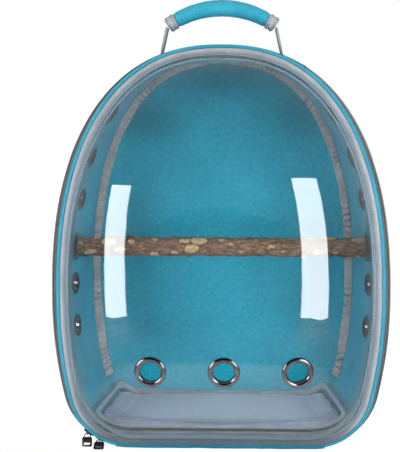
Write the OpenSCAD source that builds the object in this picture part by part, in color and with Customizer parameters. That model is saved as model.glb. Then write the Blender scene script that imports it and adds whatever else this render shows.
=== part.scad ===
// Soft bird travel carrier, worn as a backpack: an arched fabric shell with a clear domed front door,
// a branch perch across the cabin, a lift-out floor mat, a top handle and shoulder straps.
// Millimetres. X runs to the carrier's left as seen from the front, Y into the cabin, Z up.
// The origin is the middle of the base, on the surface that the carrier stands on.

/* [Shell] */
// Widest width of the shell, at the zip line
shell_w = 344; // [320:1:370]
// Height of the arch above its own flat bottom
shell_h = 406.5; // [380:0.5:440]
// Height at which the arch is widest
widest_z = 150; // [130:1:175]
// Fullness of the arch above that height, 2 is a plain ellipse
arch_power = 2.35; // [2.1:0.05:2.8]
// Radius of the nearly straight sides below that height
side_r = 440; // [320:5:480]
// Radius of the bottom corners
corner_r = 64; // [54:1:72]
// Depth of the shell from the zip line to the inside of the back panel
shell_d = 146; // [125:1:175]
// Width of the shell at the back panel
back_w = 304; // [284:1:320]
// Thickness of the padded side wall
wall_t = 4; // [3:0.5:6]
// Thickness of the padded back panel
back_t = 8; // [5:0.5:12]
// How far the side wall hangs above the surface that the base stands on
stand_h = 4.5; // [4.5:0.1:6]
// Diameter of the piping round the back seam
back_piping_d = 4.2; // [3:0.1:4.4]
// Width of the grey binding inside the front edge of the shell
lining_w = 16; // [13:1:24]
// Thickness of that binding
lining_t = 1.5; // [1:0.1:2]
// Size of the gathered binding inside the back seam
seam_binding = 7; // [5:0.5:9]
// Turn of the bottom corner at which the gathered binding starts, in degrees
seam_binding_from = 62; // [50:1:72]

/* [Door] */
// Width of the door at its piping
rim_w = 332; // [312:1:340]
// Distance of the piping's middle in front of the zip line
rim_d = 14; // [13:0.5:18]
// Diameter of the door's piping
piping_d = 3.5; // [3:0.1:4.4]
// Width of the grey binding that holds the dome
binding_w = 8; // [6:0.5:11]
// Thickness of one layer of that binding
binding_t = 1.4; // [1:0.1:1.8]
// Depth of the clear dome in front of its flange
dome_d = 100; // [70:1:120]
// Thickness of the clear dome
dome_t = 1.2; // [1:0.1:2]
// Squareness of the dome's section, 2 is an ellipse
dome_power = 4; // [3:0.1:5]
// Height of the dome's middle
dome_middle_z = 205; // [190:1:220]
// Half width of the fabric hinge in degrees of the bottom corners
hinge_turn = 11; // [8:0.5:12]
// Thickness of the fabric hinge
hinge_t = 1.5; // [1:0.1:2]

/* [Zip] */
// Width of one zip tape
tape_w = 11; // [9:0.5:11]
// Thickness of the zip tapes
tape_t = 1; // [0.8:0.1:1.2]
// Width of one coil
coil_w = 2.2; // [1.8:0.1:2.6]
// Thickness of the coils
coil_t = 3.2; // [2.6:0.1:3.6]
// Slit between the two coils, in which the sliders' posts run
slit = 1.6; // [1.4:0.1:2]
// Turn of the bottom corner at which the zip ends, in degrees
zip_from = 13; // [12.5:0.5:15]
// Length of a slider
slider_l = 11; // [9:0.5:12]
// Width of a slider
slider_w = 9; // [8:0.5:10]
// Thickness of a slider's plates
plate_t = 1; // [0.8:0.1:1.2]
// Diameter of the bar on a slider that the pull's loop hangs from
bar_d = 1.2; // [1:0.1:1.4]
// Place of the lower slider on the corner, in degrees
lower_slider_at = 23; // [22:0.5:24]
// Place of the upper slider on the corner, in degrees
upper_slider_at = 35.5; // [35:0.5:39]
// Length of a zip pull from the top of its loop to its tip
pull_l = 14.5; // [13:0.5:15]
// Width of a zip pull
pull_w = 10.5; // [9:0.5:11]
// Thickness of the wire of a pull's loop
wire_t = 1; // [0.8:0.1:1.1]

/* [Eyelets] */
// Outer diameter of the eyelets in the dome
dome_eyelet_d = 30; // [26:0.5:34]
// Clear bore of the eyelets in the dome
dome_eyelet_bore = 20; // [16:0.5:22]
// Distance between the eyelets in the dome
dome_eyelet_pitch = 68.5; // [60:0.5:72]
// Height of the eyelets in the dome
dome_eyelet_z = 105; // [98:1:125]
// How far the row of three sits off the middle, as punched
dome_eyelet_shift = 5; // [0:0.5:6]
// Outer diameter of the eyelets in the side wall
side_eyelet_d = 27; // [22:0.5:30]
// Clear bore of the eyelets in the side wall
side_eyelet_bore = 17; // [12:0.5:19]
// Distance between the eyelets in the side wall
side_eyelet_pitch = 46; // [42:0.5:48]
// How far the row of eyelets sits above the perch, as punched
side_eyelet_rise = 6; // [0:0.5:8]
// Thickness of an eyelet's rim
eyelet_t = 2; // [1.4:0.1:2.6]

/* [Perch] */
// Height of the perch
perch_z = 201; // [190:1:215]
// Distance of the perch behind the zip line
perch_back = 64; // [50:1:78]
// Diameter of the branch
perch_d = 21; // [16:0.5:26]
// Diameter of the threaded rods in its ends
rod_d = 6; // [5:0.5:8]
// Length of rod inside the branch
rod_in = 30; // [20:1:40]
// Diameter of the washers that clamp it
washer_d = 30; // [26:1:34]
// Thickness of those washers
washer_t = 1.6; // [1:0.1:2.5]
// Width of the nuts across their flats
nut_w = 12; // [10:0.5:14]

/* [Floor] */
// Thickness of the stiff board on the base
board_t = 3.2; // [2:0.1:4]
// Thickness of the lift-out mat
mat_t = 8.5; // [6:0.5:11]
// Gap left behind the mat
mat_gap = 4; // [3:0.5:8]
// Distance of the mat's front edge behind the front edge of the wall
mat_front = 1.5; // [1:0.5:10]
// How far the mat's sides ride up the round corners, in degrees
mat_turn = 46; // [20:1:50]
// How far the mat's back edge rides up the back panel
mat_curl = 7; // [0:0.5:10]
// Depth of the strip that rides up there
mat_curl_l = 18; // [12:1:30]
// Width of the binding round the mat
mat_binding_w = 5; // [3:0.5:8]

/* [Handle] */
// Distance between the handle's roots
handle_w = 126; // [112:1:140]
// Distance of the handle behind the zip line
handle_back = 50; // [40:1:70]
// Height of the grip's middle above the shell's top
handle_rise = 40; // [36:0.5:50]
// Thickness of the padded grip
grip_d = 17; // [14:0.5:20]
// Radius of the grip's curve
grip_r = 95; // [90:1:130]
// Half the angle that the grip spans, cuffs left out
grip_half = 30; // [20:1:32]
// Length of the cuffs at the grip's ends
cuff_l = 10; // [6:0.5:12]
// Width of the handle's webbing
web_w = 25; // [20:0.5:30]
// Thickness of the webbing
web_t = 2.4; // [1.6:0.1:3]
// Length of the patches sewn over the handle's roots
patch_l = 27; // [22:1:34]
// Thickness of those patches
patch_t = 1.5; // [1:0.1:2]

/* [Straps and back] */
// Thickness of the back pads
pad_t = 9; // [6:0.5:11]
// Width of each back pad
pad_w = 52; // [40:1:54]
// Height of each back pad
pad_h = 215; // [180:1:240]
// Height of the pads' lower edge
pad_z = 90; // [80:1:100]
// Width of the shoulder straps
strap_w = 56; // [46:1:60]
// Thickness of the shoulder straps
strap_t = 10; // [7:0.5:12]
// How far the straps bow away from the back
strap_bow = 36; // [32:1:50]
// How far below the shell's top the straps' upper ends are
strap_drop = 45; // [40:1:60]
// Height of the straps' lower ends
strap_end_z = 118; // [110:1:135]
// Width of the tabs at the bottom corners
tab_w = 31; // [28:1:36]
// Height of those tabs
tab_h = 38; // [30:1:44]

/* [Hidden] */

seat = 0.3;              // clearance between pieces that lie against each other
sewn = 0.12;             // clearance between sewn pieces that follow each other round a curve
around = 7;              // steps along each bottom corner
along = 3;               // steps along each straight side
over = 14;               // steps along each half of the arch

teal = "#3a97b2";
dark_teal = "#2b7f99";
grey = "#8a8c91";
pale_grey = "#aab3ba";
charcoal = "#4a4748";
gunmetal = "#5c5a5e";
bark = "#7a6350";
black = "#1c1c1e";
mesh_grey = "#5d6166";
slate = "#8295a8";

zip_y = -shell_d / 2;
back_y = shell_d / 2;
rim_y = zip_y - rim_d;
wall_y = zip_y + slit / 2 + tape_w;            // front edge of the side wall
inner_z = stand_h + wall_t;                    // top of the base panel
perch_y = zip_y + perch_back;
handle_y = zip_y + handle_back;

// Outline of the shell at the zip line, with its flat bottom at height 0: a round corner, a nearly
// straight side and a superellipse over the top, each tangent to the next.
side_x = shell_w / 2 - side_r;
corner_x = side_x + sqrt(pow(side_r - corner_r, 2) - pow(widest_z - corner_r, 2));
corner_turn = 90 - asin((widest_z - corner_r) / (side_r - corner_r));
arch_a = shell_w / 2;
arch_b = shell_h - widest_z;

function arch_at(t) = let (e = 2 / arch_power, c = max(cos(t), 0), s = sin(t),
    nx = pow(c, 2 - e) / arch_a, nz = pow(s, 2 - e) / arch_b, n = norm([nx, nz]))
  [arch_a * pow(c, e), widest_z + arch_b * pow(s, e), nx / n, nz / n];
function arc_at(x, z, r, turn) = [x + r * sin(turn), z - r * cos(turn), sin(turn), -cos(turn)];
// Half outline: u runs 0 to 1 round the corner, to 2 up the side and to 3 over the arch.
// Each result is the half width, the height, and the outward direction there.
function half_at(u) = u <= 1 ? arc_at(corner_x, corner_r, corner_r, u * corner_turn)
  : u <= 2 ? arc_at(side_x, widest_z, side_r, corner_turn + (u - 1) * (90 - corner_turn))
  : arch_at(min((u - 2) * 90, 90));
function mirrored(s, side) = [side * s[0], s[1], side * s[2], s[3]];
half_steps = concat([for (i = [0 : around - 1]) i / around],
  [for (i = [0 : along - 1]) 1 + i / along], [for (i = [0 : over]) 2 + i / over]);
// Stations from the right bottom corner over the top to the left one. Each end is a turn in degrees.
function stations(right_turn, left_turn) = let (a = right_turn / corner_turn, b = left_turn / corner_turn)
  concat([mirrored(half_at(a), -1)],
    [for (u = half_steps) if (u > a + 0.02) mirrored(half_at(u), -1)],
    [for (i = [len(half_steps) - 2 : -1 : 0]) let (u = half_steps[i]) if (u > b + 0.02)
      mirrored(half_at(u), 1)],
    [mirrored(half_at(b), 1)]);
whole_loop = stations(0, 0);
// Half width of the outline at a height above its flat bottom
function half_width(z) = z > widest_z
    ? arch_a * pow(max(1 - pow((z - widest_z) / arch_b, arch_power), 0), 1 / arch_power)
  : z > corner_r * (1 - cos(corner_turn)) ? side_x + sqrt(pow(side_r, 2) - pow(z - widest_z, 2))
  : corner_x + sqrt(max(pow(corner_r, 2) - pow(z - corner_r, 2), 0));
// Share of the full width that the shell has at depth y. It stays full under the sliders.
zip_flat = slider_w / 2;
function taper(y) = let (far = max(abs(y - zip_y) - zip_flat, 0))
  y < zip_y ? 1 + (rim_w / shell_w - 1) * far / (rim_d - zip_flat)
  : 1 + (back_w / shell_w - 1) * far / (shell_d - zip_flat);
// A point that lies off outside the shell's skin, at station s and depth y
function on_skin(s, off, y) = [s[0] * taper(y) + s[2] * off, y, stand_h + s[1] + s[3] * off];

// Closed surface through rings of equally many points, joined end to end or capped by flat ends
module skin(rings, joined = true) {
  m = len(rings[0]);
  n = len(rings);
  last = joined ? n - 1 : n - 2;
  polyhedron([for (r = rings) for (p = r) p],
    concat(
      [for (i = [0 : last]) for (j = [0 : m - 1]) [i * m + j, ((i + 1) % n) * m + j, i * m + (j + 1) % m]],
      [for (i = [0 : last]) for (j = [0 : m - 1])
        [((i + 1) % n) * m + j, ((i + 1) % n) * m + (j + 1) % m, i * m + (j + 1) % m]],
      joined ? [] : [[for (j = [0 : m - 1]) j], [for (j = [m - 1 : -1 : 0]) (n - 1) * m + j]]));
}
// A strip that follows the skin, with a section of [off, y] points
module band(path, section, joined = false)
  skin([for (i = [len(path) - 1 : -1 : 0]) [for (q = section) on_skin(path[i], q[0], q[1])]], joined);
function box_section(off_low, off_high, y_low, y_high) =
  [[off_low, y_low], [off_high, y_low], [off_high, y_high], [off_low, y_high]];
function round_section(off, y, d, sides = 8) = [for (i = [0 : sides - 1])
  let (a = -(i + 0.5) * 360 / sides, r = d / 2 / cos(180 / sides)) [off + r * cos(a), y - r * sin(a)]];

// Places its children on the side wall, with their Z axis along the wall's outward direction
function wall_yaw(z) = atan(half_width(z - stand_h) * (1 - back_w / shell_w) / (shell_d - zip_flat));
module on_wall(side, z, y) {
  h = z - stand_h;
  lean = atan2(half_width(h - 1) - half_width(h + 1), 2);
  translate([side * half_width(h) * taper(y), y, z])
    mirror([side < 0 ? 1 : 0, 0, 0]) rotate([0, 0, wall_yaw(z)]) rotate([0, 90 - lean, 0]) children();
}
side_eyelet_heights = [for (i = [-2, -1, 1, 2, 3]) perch_z + side_eyelet_rise + i * side_eyelet_pitch];

module side_wall() color(teal) difference() {
  band(whole_loop, box_section(-wall_t, 0, wall_y, back_y));
  for (side = [-1, 1], z = side_eyelet_heights) on_wall(side, z, perch_y)
    cylinder(h = 6 * wall_t, d = side_eyelet_bore + 2 * seat + 1, center = true);
  for (side = [-1, 1]) on_wall(side, perch_z, perch_y)
    cylinder(h = 6 * wall_t, d = rod_d + 4, center = true);
}

module floor_plate(half_front, half_back, y_front, y_back, z, t, r) translate([0, 0, z])
  linear_extrude(height = t) hull() {
    for (side = [-1, 1]) {
      translate([side * (half_front - r), y_front + r]) circle(r = r, $fn = 24);
      translate([side * (half_back - r), y_back - r]) circle(r = r, $fn = 24);
    }
  }
module base_slab(t, y_back) linear_extrude(height = t)
  polygon([[-corner_x * taper(wall_y), wall_y], [corner_x * taper(wall_y), wall_y],
    [corner_x * taper(y_back), y_back], [-corner_x * taper(y_back), y_back]]);
module base_panel() color(dark_teal) {
  base_slab(stand_h, back_y - back_piping_d / 2 - seat);
  translate([0, 0, stand_h]) base_slab(wall_t, back_y);
}

lining_back_y = wall_y + lining_w - 5;          // the binding also covers 5 of the tape's width
board_z = inner_z + seat;
board_front_y = lining_back_y + 1;
module base_board() color(charcoal)
  floor_plate(corner_x * taper(board_front_y) + 1, corner_x * taper(back_y) + 1,
    board_front_y, back_y - 2 * seat, board_z, board_t, 4);

module back_panel() color(teal)
  skin([for (y = [back_y, back_y + back_t]) [for (s = whole_loop) on_skin(s, y > back_y ? -2 : 0, y)]],
    false);
module back_piping() color(dark_teal)
  band(whole_loop, round_section(back_piping_d / 2 + sewn, back_y, back_piping_d), true);
module seam_binding_inner() color(grey)
  band(stations(seam_binding_from, seam_binding_from),
    [[-wall_t - sewn, back_y - seam_binding], [-wall_t - sewn, back_y], [-wall_t - seam_binding, back_y],
     [-wall_t - seam_binding * 0.75, back_y - seam_binding * 0.55]]);
module front_lining() color(grey)
  band(whole_loop, box_section(-wall_t - lining_t, -wall_t - sewn, wall_y - 5, lining_back_y), true);

// The zip: a tape and a coil on each half, inside the skin's thickness
tape_off = -tape_t - 1;
coil_off = tape_off + tape_t / 2 - coil_t / 2;
module zip_tape(path, y_edge, y_far)
  band(path, box_section(tape_off, tape_off + tape_t, min(y_edge, y_far), max(y_edge, y_far)));
module zip_coil(path, y_edge, y_far)
  band(path, box_section(coil_off, coil_off + coil_t, min(y_edge, y_far), max(y_edge, y_far)));
module shell_zip_tape() color(grey)
  zip_tape(stations(zip_from, zip_from), zip_y + slit / 2 + coil_w, wall_y);
module shell_zip_coil() color(charcoal)
  zip_coil(stations(zip_from, zip_from), zip_y + slit / 2, zip_y + slit / 2 + coil_w);
// The door's half starts past the sliders on their side, and ends with the shell's on the other.
slider_half_turn = slider_l / 2 / (corner_r + coil_off) * 180 / PI;
door_zip_from = upper_slider_at + slider_half_turn + 2;
module door_zip_tape() color(pale_grey)
  zip_tape(stations(door_zip_from, zip_from), zip_y - slit / 2 - coil_w, rim_y + piping_d / 2);
module door_zip_coil() color(charcoal)
  zip_coil(stations(door_zip_from, zip_from), zip_y - slit / 2, zip_y - slit / 2 - coil_w);

// The fabric hinge under the door, between the ends of the zip
hinge_z = stand_h + hinge_t / 2;
module hinge_strip() color(teal)
  skin([for (s = [mirrored(half_at(hinge_turn / corner_turn), -1), mirrored(half_at(0), -1),
      mirrored(half_at(0), 1), mirrored(half_at(hinge_turn / corner_turn), 1)])
    [for (q = box_section(-hinge_t, 0, rim_y + dome_t + binding_t, wall_y))
      [s[0] * taper(wall_y) - s[2] * hinge_t, q[1], stand_h + s[1] + s[3] * q[0]]]], false);

// An eyelet: a rolled rim and a barrel from outside, and a washer that holds it from inside.
// Z is outwards and 0 is the outer face of the sheet.
module eyelet(d, bore, sheet) rotate_extrude() difference() {
  union() {
    translate([bore / 2, -sheet - 2]) square([0.6, sheet + 2 + eyelet_t * 0.6]);
    translate([(d + bore) / 4, seat]) scale([(d - bore) / 4, eyelet_t]) circle(r = 1, $fn = 48);
  }
  translate([0, -sheet - 10]) square([bore / 2, sheet + 20]);
  translate([bore / 2 + 0.6, -sheet - 10]) square([d, sheet + 10 + seat]);
}
module eyelet_washer(d, bore, sheet) rotate_extrude() difference() {
  translate([(d + bore) / 4, -sheet - seat])
    scale([(d - bore) / 4, eyelet_t * 0.7]) circle(r = 1, $fn = 48);
  translate([0, -sheet - seat]) square([d, 20]);
  translate([0, -sheet - 10]) square([bore / 2 + 0.6 + 0.1, 20]);
}
module side_eyelets(side) color(gunmetal) for (z = side_eyelet_heights)
  on_wall(side, z, perch_y)
    translate([0, 0, 0.3]) eyelet(side_eyelet_d, side_eyelet_bore, wall_t + 0.6);
module side_washers(side) color(gunmetal) for (z = side_eyelet_heights)
  on_wall(side, z, perch_y)
    translate([0, 0, -0.4]) eyelet_washer(side_eyelet_d - 3, side_eyelet_bore, wall_t + 0.6);
module side_eyelets_left() side_eyelets(-1);
module side_eyelets_right() side_eyelets(1);
module side_washers_left() side_washers(-1);
module side_washers_right() side_washers(1);

// The perch: a natural branch with uneven girth, held by a rod, two washers and a nut at each end
perch_yaw = wall_yaw(perch_z);
perch_wall_x = half_width(perch_z - stand_h) * taper(perch_y);
perch_half = perch_wall_x - (wall_t + 2 * seat + washer_t) / cos(perch_yaw)
  - perch_d * 0.55 * tan(perch_yaw) - seat;
perch_rings = 30;
perch_sides = 12;
function girth(x, a) = perch_d / 2 * (1 + 0.035 * sin(7.3 * x + 40) + 0.03 * sin(3.1 * x + 2 * a)
  + 0.03 * cos(11 * x - 3 * a));
module perch() color(bark) difference() {
  skin([for (i = [0 : perch_rings]) let (x = -perch_half + 2 * perch_half * i / perch_rings)
    [for (j = [0 : perch_sides - 1]) let (a = j * 360 / perch_sides, r = girth(x, a))
      [x, perch_y + r * cos(a), perch_z + r * sin(a)]]], false);
  for (side = [-1, 1]) translate([side * (perch_half - rod_in), perch_y, perch_z])
    rotate([0, side * 90, 0]) cylinder(h = rod_in + 1, d = rod_d + 0.2);
}
nut_t = nut_w * 0.5;
nut_x = perch_wall_x + (seat + washer_t) / cos(perch_yaw) + nut_w * 0.6 * tan(perch_yaw) + 0.1;
rod_out = nut_x + nut_t;
module perch_rods() color(gunmetal) for (side = [-1, 1])
  translate([side * (perch_half - rod_in + 1), perch_y, perch_z])
    rotate([0, side * 90, 0]) cylinder(h = rod_out - perch_half + rod_in - 1, d = rod_d);
module ring(d, bore, t) rotate_extrude() translate([bore / 2, 0]) square([(d - bore) / 2, t]);
module perch_inner_washers() color(gunmetal) for (side = [-1, 1]) on_wall(side, perch_z, perch_y)
  translate([0, 0, -wall_t - 2 * seat - washer_t]) ring(washer_d, rod_d + 2.4, washer_t);
module perch_outer_washers() color(gunmetal) for (side = [-1, 1]) on_wall(side, perch_z, perch_y)
  translate([0, 0, seat]) ring(washer_d * 0.8, rod_d + 2.4, washer_t);
module perch_nuts() color(gunmetal) for (side = [-1, 1])
  translate([side * nut_x, perch_y, perch_z]) rotate([0, side * 90, 0])
    difference() {
      union() {
        cylinder(h = nut_t, d = nut_w / cos(30), $fn = 6);
        translate([0, 0, nut_t]) cylinder(h = 2, d = nut_w * 0.8);
      }
      translate([0, 0, -1]) cylinder(h = nut_t + 1.3, d = rod_d + 0.2);
    }

// The lift-out floor mat: a padded sheet whose sides ride up the round corners. Its shape is drawn flat,
// with u across it, and each point is then bent to its place at h over the underside.
mat_z = board_z + board_t + seat;
mat_front_y = wall_y + mat_front;
mat_back_y = back_y - mat_gap;
mat_under_r = stand_h + corner_r - mat_z;      // radius of the underside in the corners
mat_half = corner_x + mat_under_r * mat_turn * PI / 180;
mat_r = 12;
function mat_bend(u, y, h) = let (a = max(abs(u) - corner_x, 0) / mat_under_r * 180 / PI,
    r = mat_under_r - h, up = max((y - mat_back_y) / mat_curl_l + 1, 0))
  [sign(u) * (min(abs(u), corner_x) + r * sin(a)) * taper(y), y,
    stand_h + corner_r - r * cos(a) + mat_curl * up * up];
// Points across the mat from the middle's flat part out to w
function mat_across(w) = [for (i = [0 : 5]) corner_x + (w - corner_x) * i / 5];
mat_curl_steps = [for (share = [1, 0.75, 0.5, 0.25]) mat_curl_l * share];
body_inset = mat_binding_w + seat;
body_front_y = mat_front_y + body_inset;
body_back_y = mat_back_y - body_inset;
// Half width and depth of each section of the body, with its corners rounded
body_rows = concat(
  [for (a = [270 : 30 : 360]) [mat_half - body_inset - mat_r * (1 - cos(a)), body_front_y + mat_r * (1 + sin(a))]],
  [for (d = mat_curl_steps) if (d > mat_r) [mat_half - body_inset, body_back_y - d]],
  [for (a = [0 : 30 : 90]) [mat_half - body_inset - mat_r * (1 - cos(a)), body_back_y - mat_r * (1 - sin(a))]]);
function body_ring(row) = let (w = row[0], y = row[1], across = mat_across(w),
    us = concat([for (i = [5 : -1 : 0]) -across[i]], across),
    edge = [for (u = us) min(mat_half - body_inset - abs(u), y - body_front_y, body_back_y - y)])
  concat([for (i = [0 : 11]) mat_bend(us[i], y, mat_t * (0.8 + 0.2 * min(edge[i] / 14, 1)))],
    [for (i = [11 : -1 : 0]) mat_bend(us[i], y, mat_t * 0.3 * max(1 - edge[i] / 8, 0))]);
module floor_mat() color(slate)
  skin([for (row = body_rows) body_ring(row)], false);
// Loop round the mat at one inset from its edge and one share of its thickness
function mat_loop(inset, share) = let (w = mat_half - inset, y0 = mat_front_y + inset,
    y1 = mat_back_y - inset, across = mat_across(w - mat_r),
    side = [for (d = mat_curl_steps) if (d > mat_r) mat_back_y - d])
  [for (p = concat(
    [for (a = [0 : 30 : 90]) [w - mat_r + mat_r * cos(a), y1 - mat_r + mat_r * sin(a)]],
    [for (i = [4 : -1 : 0]) [across[i], y1]],
    [for (i = [0 : 4]) [-across[i], y1]],
    [for (a = [90 : 30 : 180]) [mat_r - w + mat_r * cos(a), y1 - mat_r + mat_r * sin(a)]],
    [for (i = [len(side) - 1 : -1 : 0]) [-w, side[i]]],
    [for (a = [180 : 30 : 270]) [mat_r - w + mat_r * cos(a), y0 + mat_r + mat_r * sin(a)]],
    [for (i = [4 : -1 : 0]) [-across[i], y0]],
    [for (i = [0 : 4]) [across[i], y0]],
    [for (a = [270 : 30 : 360]) [w - mat_r + mat_r * cos(a), y0 + mat_r + mat_r * sin(a)]],
    [for (y = side) [w, y]])) mat_bend(p[0], p[1], mat_t * share)];
module mat_binding() color(grey)
  skin([mat_loop(mat_binding_w, 0.34), mat_loop(1.2, 0.34), mat_loop(0, 0.5), mat_loop(1.2, 0.72),
    mat_loop(mat_binding_w, 0.72)], true);

// The dome is the door's outline, drawn in by the binding, raised over a superellipse section.
dome_inset = piping_d + binding_w + 1;
dome_foot_z = stand_h + dome_inset;
dome_wide = (rim_w / 2 - dome_inset) / (shell_w / 2);
dome_tall = (shell_h - 2 * dome_inset) / shell_h;
dome_steps = [0, 10, 20, 30, 40, 50, 60, 68, 75, 81, 86];
// Ring of the dome at angle a of its section, thinner by t on every side
function dome_ring(a, t) = let (s = pow(max(cos(a), 0), 2 / dome_power))
  [for (q = whole_loop) let (wide = 1 - t / (rim_w / 2 - dome_inset))
    [q[0] * dome_wide * wide * s, rim_y - (dome_d - t) * sin(a),
     dome_middle_z + (dome_foot_z + q[1] * dome_tall - dome_middle_z) * (1 - t / dome_middle_z) * s]];
function flange_ring(y) = [for (q = whole_loop) on_skin(q, -piping_d - binding_t, y)];
module dome_shell() skin(concat(
    [for (i = [len(dome_steps) - 1 : -1 : 0]) dome_ring(dome_steps[i], 0)],
    [[for (q = flange_ring(rim_y)) [q[0], rim_y, q[2]]],
     [for (q = flange_ring(rim_y)) [q[0], rim_y + dome_t, q[2]]]],
    [[for (q = dome_ring(0, dome_t)) [q[0], rim_y + dome_t, q[2]]]],
    [for (i = [1 : len(dome_steps) - 1]) dome_ring(dome_steps[i], dome_t)]), false);
// Share of the dome's foot that passes through a point, found by halving
function inside_foot(x, z, s) = let (h = ((z - dome_middle_z) / s + dome_middle_z - dome_foot_z) / dome_tall)
  h > 0 && h < shell_h && abs(x) / s < half_width(h) * dome_wide;
function foot_share(x, z, low = 0.001, high = 1, left = 16) = left == 0 ? high
  : inside_foot(x, z, (low + high) / 2) ? foot_share(x, z, low, (low + high) / 2, left - 1)
  : foot_share(x, z, (low + high) / 2, high, left - 1);
function dome_y(x, z) = rim_y - dome_d * sqrt(max(1 - pow(foot_share(x, z), dome_power), 0));
module on_dome(x, z) translate([x, dome_y(x, z), z])
  rotate([-atan2(dome_y(x, z + 8) - dome_y(x, z - 8), 16), 0, 0])
    rotate([0, 0, atan2(dome_y(x + 8, z) - dome_y(x - 8, z), 16)]) rotate([90, 0, 0]) children();
dome_eyelet_steps = [-1, 0, 1];
module dome() color([0.86, 0.92, 0.95, 0.3]) difference() {
  dome_shell();
  for (i = dome_eyelet_steps) on_dome(dome_eyelet_shift + i * dome_eyelet_pitch, dome_eyelet_z)
    cylinder(h = 40, d = dome_eyelet_bore + 2 * seat + 1.4, center = true);
}
module dome_eyelets() color(gunmetal) for (i = dome_eyelet_steps)
  on_dome(dome_eyelet_shift + i * dome_eyelet_pitch, dome_eyelet_z)
    translate([0, 0, 0.3]) eyelet(dome_eyelet_d, dome_eyelet_bore, dome_t + 0.6);
module dome_washers() color(gunmetal) for (i = dome_eyelet_steps)
  on_dome(dome_eyelet_shift + i * dome_eyelet_pitch, dome_eyelet_z)
    translate([0, 0, -0.5]) eyelet_washer(dome_eyelet_d - 5, dome_eyelet_bore, dome_t + 0.6);

// The binding folds round the dome's flange, and the piping runs round its outside.
module door_binding() color(pale_grey) band(whole_loop, [
    [-piping_d - sewn, rim_y - binding_t], [-piping_d - sewn, rim_y + dome_t + binding_t],
    [-piping_d - binding_w, rim_y + dome_t + binding_t], [-piping_d - binding_w, rim_y + dome_t],
    [-piping_d - binding_t, rim_y + dome_t], [-piping_d - binding_t, rim_y],
    [-piping_d - binding_w, rim_y], [-piping_d - binding_w, rim_y - binding_t]], true);
module door_piping() color(teal)
  band(whole_loop, round_section(-piping_d / 2, rim_y, piping_d), true);

// The handle: webbing legs, a padded grip and a cuff at each end
shell_top = stand_h + shell_h;
grip_z = shell_top + handle_rise;
arc_z = grip_z - grip_r;
root_z = stand_h + widest_z
  + arch_b * pow(1 - pow(handle_w / 2 / (arch_a * taper(handle_y)), arch_power), 1 / arch_power);
swing_z = root_z + patch_t + web_t / 2 + 2 * seat + web_w / 2;
cuff_turn = cuff_l / grip_r * 180 / PI;
module handle_patches() color(grey) for (side = [-1, 1]) on_wall(side, root_z, handle_y)
  translate([-2, -(web_w + 3) / 2, seat]) cube([patch_l, web_w + 3, patch_t]);
module leg(side) {
  end = grip_half + cuff_turn;
  top = [grip_r * sin(end), arc_z + grip_r * cos(end)];
  foot = [handle_w / 2, root_z];
  run = norm(top - foot);
  lean = atan2(foot[0] - top[0], top[1] - foot[1]);
  mirror([side < 0 ? 1 : 0, 0, 0]) intersection() {
    translate([foot[0], handle_y, foot[1]]) rotate([0, -lean, 0])
      translate([-web_t / 2, -web_w, 0]) cube([web_t, 2 * web_w, run - 1.6]);
    translate([0, handle_y, swing_z]) rotate([0, 90, 0]) union() {
      cylinder(h = handle_w, d = web_w);
      translate([-2 * handle_rise, -web_w / 2, 0]) cube([2 * handle_rise, web_w, handle_w]);
    }
  }
}
module handle_webbing() color(grey) for (side = [-1, 1]) leg(side);
// Grip ring at angle a from the top, with half thickness r
function grip_ring(a, r) = [for (j = [0 : 13]) let (b = -j * 360 / 14, q = grip_r + r * cos(b))
  [q * sin(a), handle_y + 1.25 * r * sin(b), arc_z + q * cos(a)]];
module handle_grip() color(teal)
  skin([for (i = [0 : 12]) let (a = (i / 6 - 1) * grip_half)
    grip_ring(a, grip_d / 2 * (1 - 0.14 * pow(i / 6 - 1, 2)))], false);
module handle_cuffs() color(pale_grey) for (side = [-1, 1])
  skin([for (i = [0 : 3]) let (a = side * grip_half + (side > 0 ? i / 3 : i / 3 - 1) * cuff_turn)
    grip_ring(a, grip_d / 2 * 0.94)], false);

// Crowned pads on the back
pad_x = 33;
function rounded(half_front, half_back, y_front, y_back, r, z) = [for (c = [[1, 1, 0], [-1, 1, 90],
    [-1, -1, 180], [1, -1, 270]]) for (a = [0 : 30 : 90])
  let (half = c[1] > 0 ? half_back : half_front, y = c[1] > 0 ? y_back - r : y_front + r)
  [c[0] * (half - r) + r * cos(a + c[2]), y + r * sin(a + c[2]), z]];
function pad_ring(inset, y) = [for (q = rounded(pad_w / 2 - inset, pad_w / 2 - inset, -pad_h / 2 + inset,
    pad_h / 2 - inset, 14 - min(inset, 10) * 0.6, 0)) [q[0], y, q[1]]];
module back_pads() color(mesh_grey) for (side = [-1, 1])
  translate([side * pad_x, back_y + back_t, pad_z + pad_h / 2])
    skin([pad_ring(12, pad_t), pad_ring(3, pad_t * 0.8), pad_ring(0, pad_t * 0.35), pad_ring(2, 0)], false);

// The shoulder straps bow away from the back between the yoke and their lower ends.
yoke_t = 3;
strap_y = back_y + back_t + yoke_t + strap_t / 2 + seat;
strap_top_z = shell_top - strap_drop;
strap_top_x = 46;
strap_end_x = 100;
strap_rings = 18;
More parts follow.
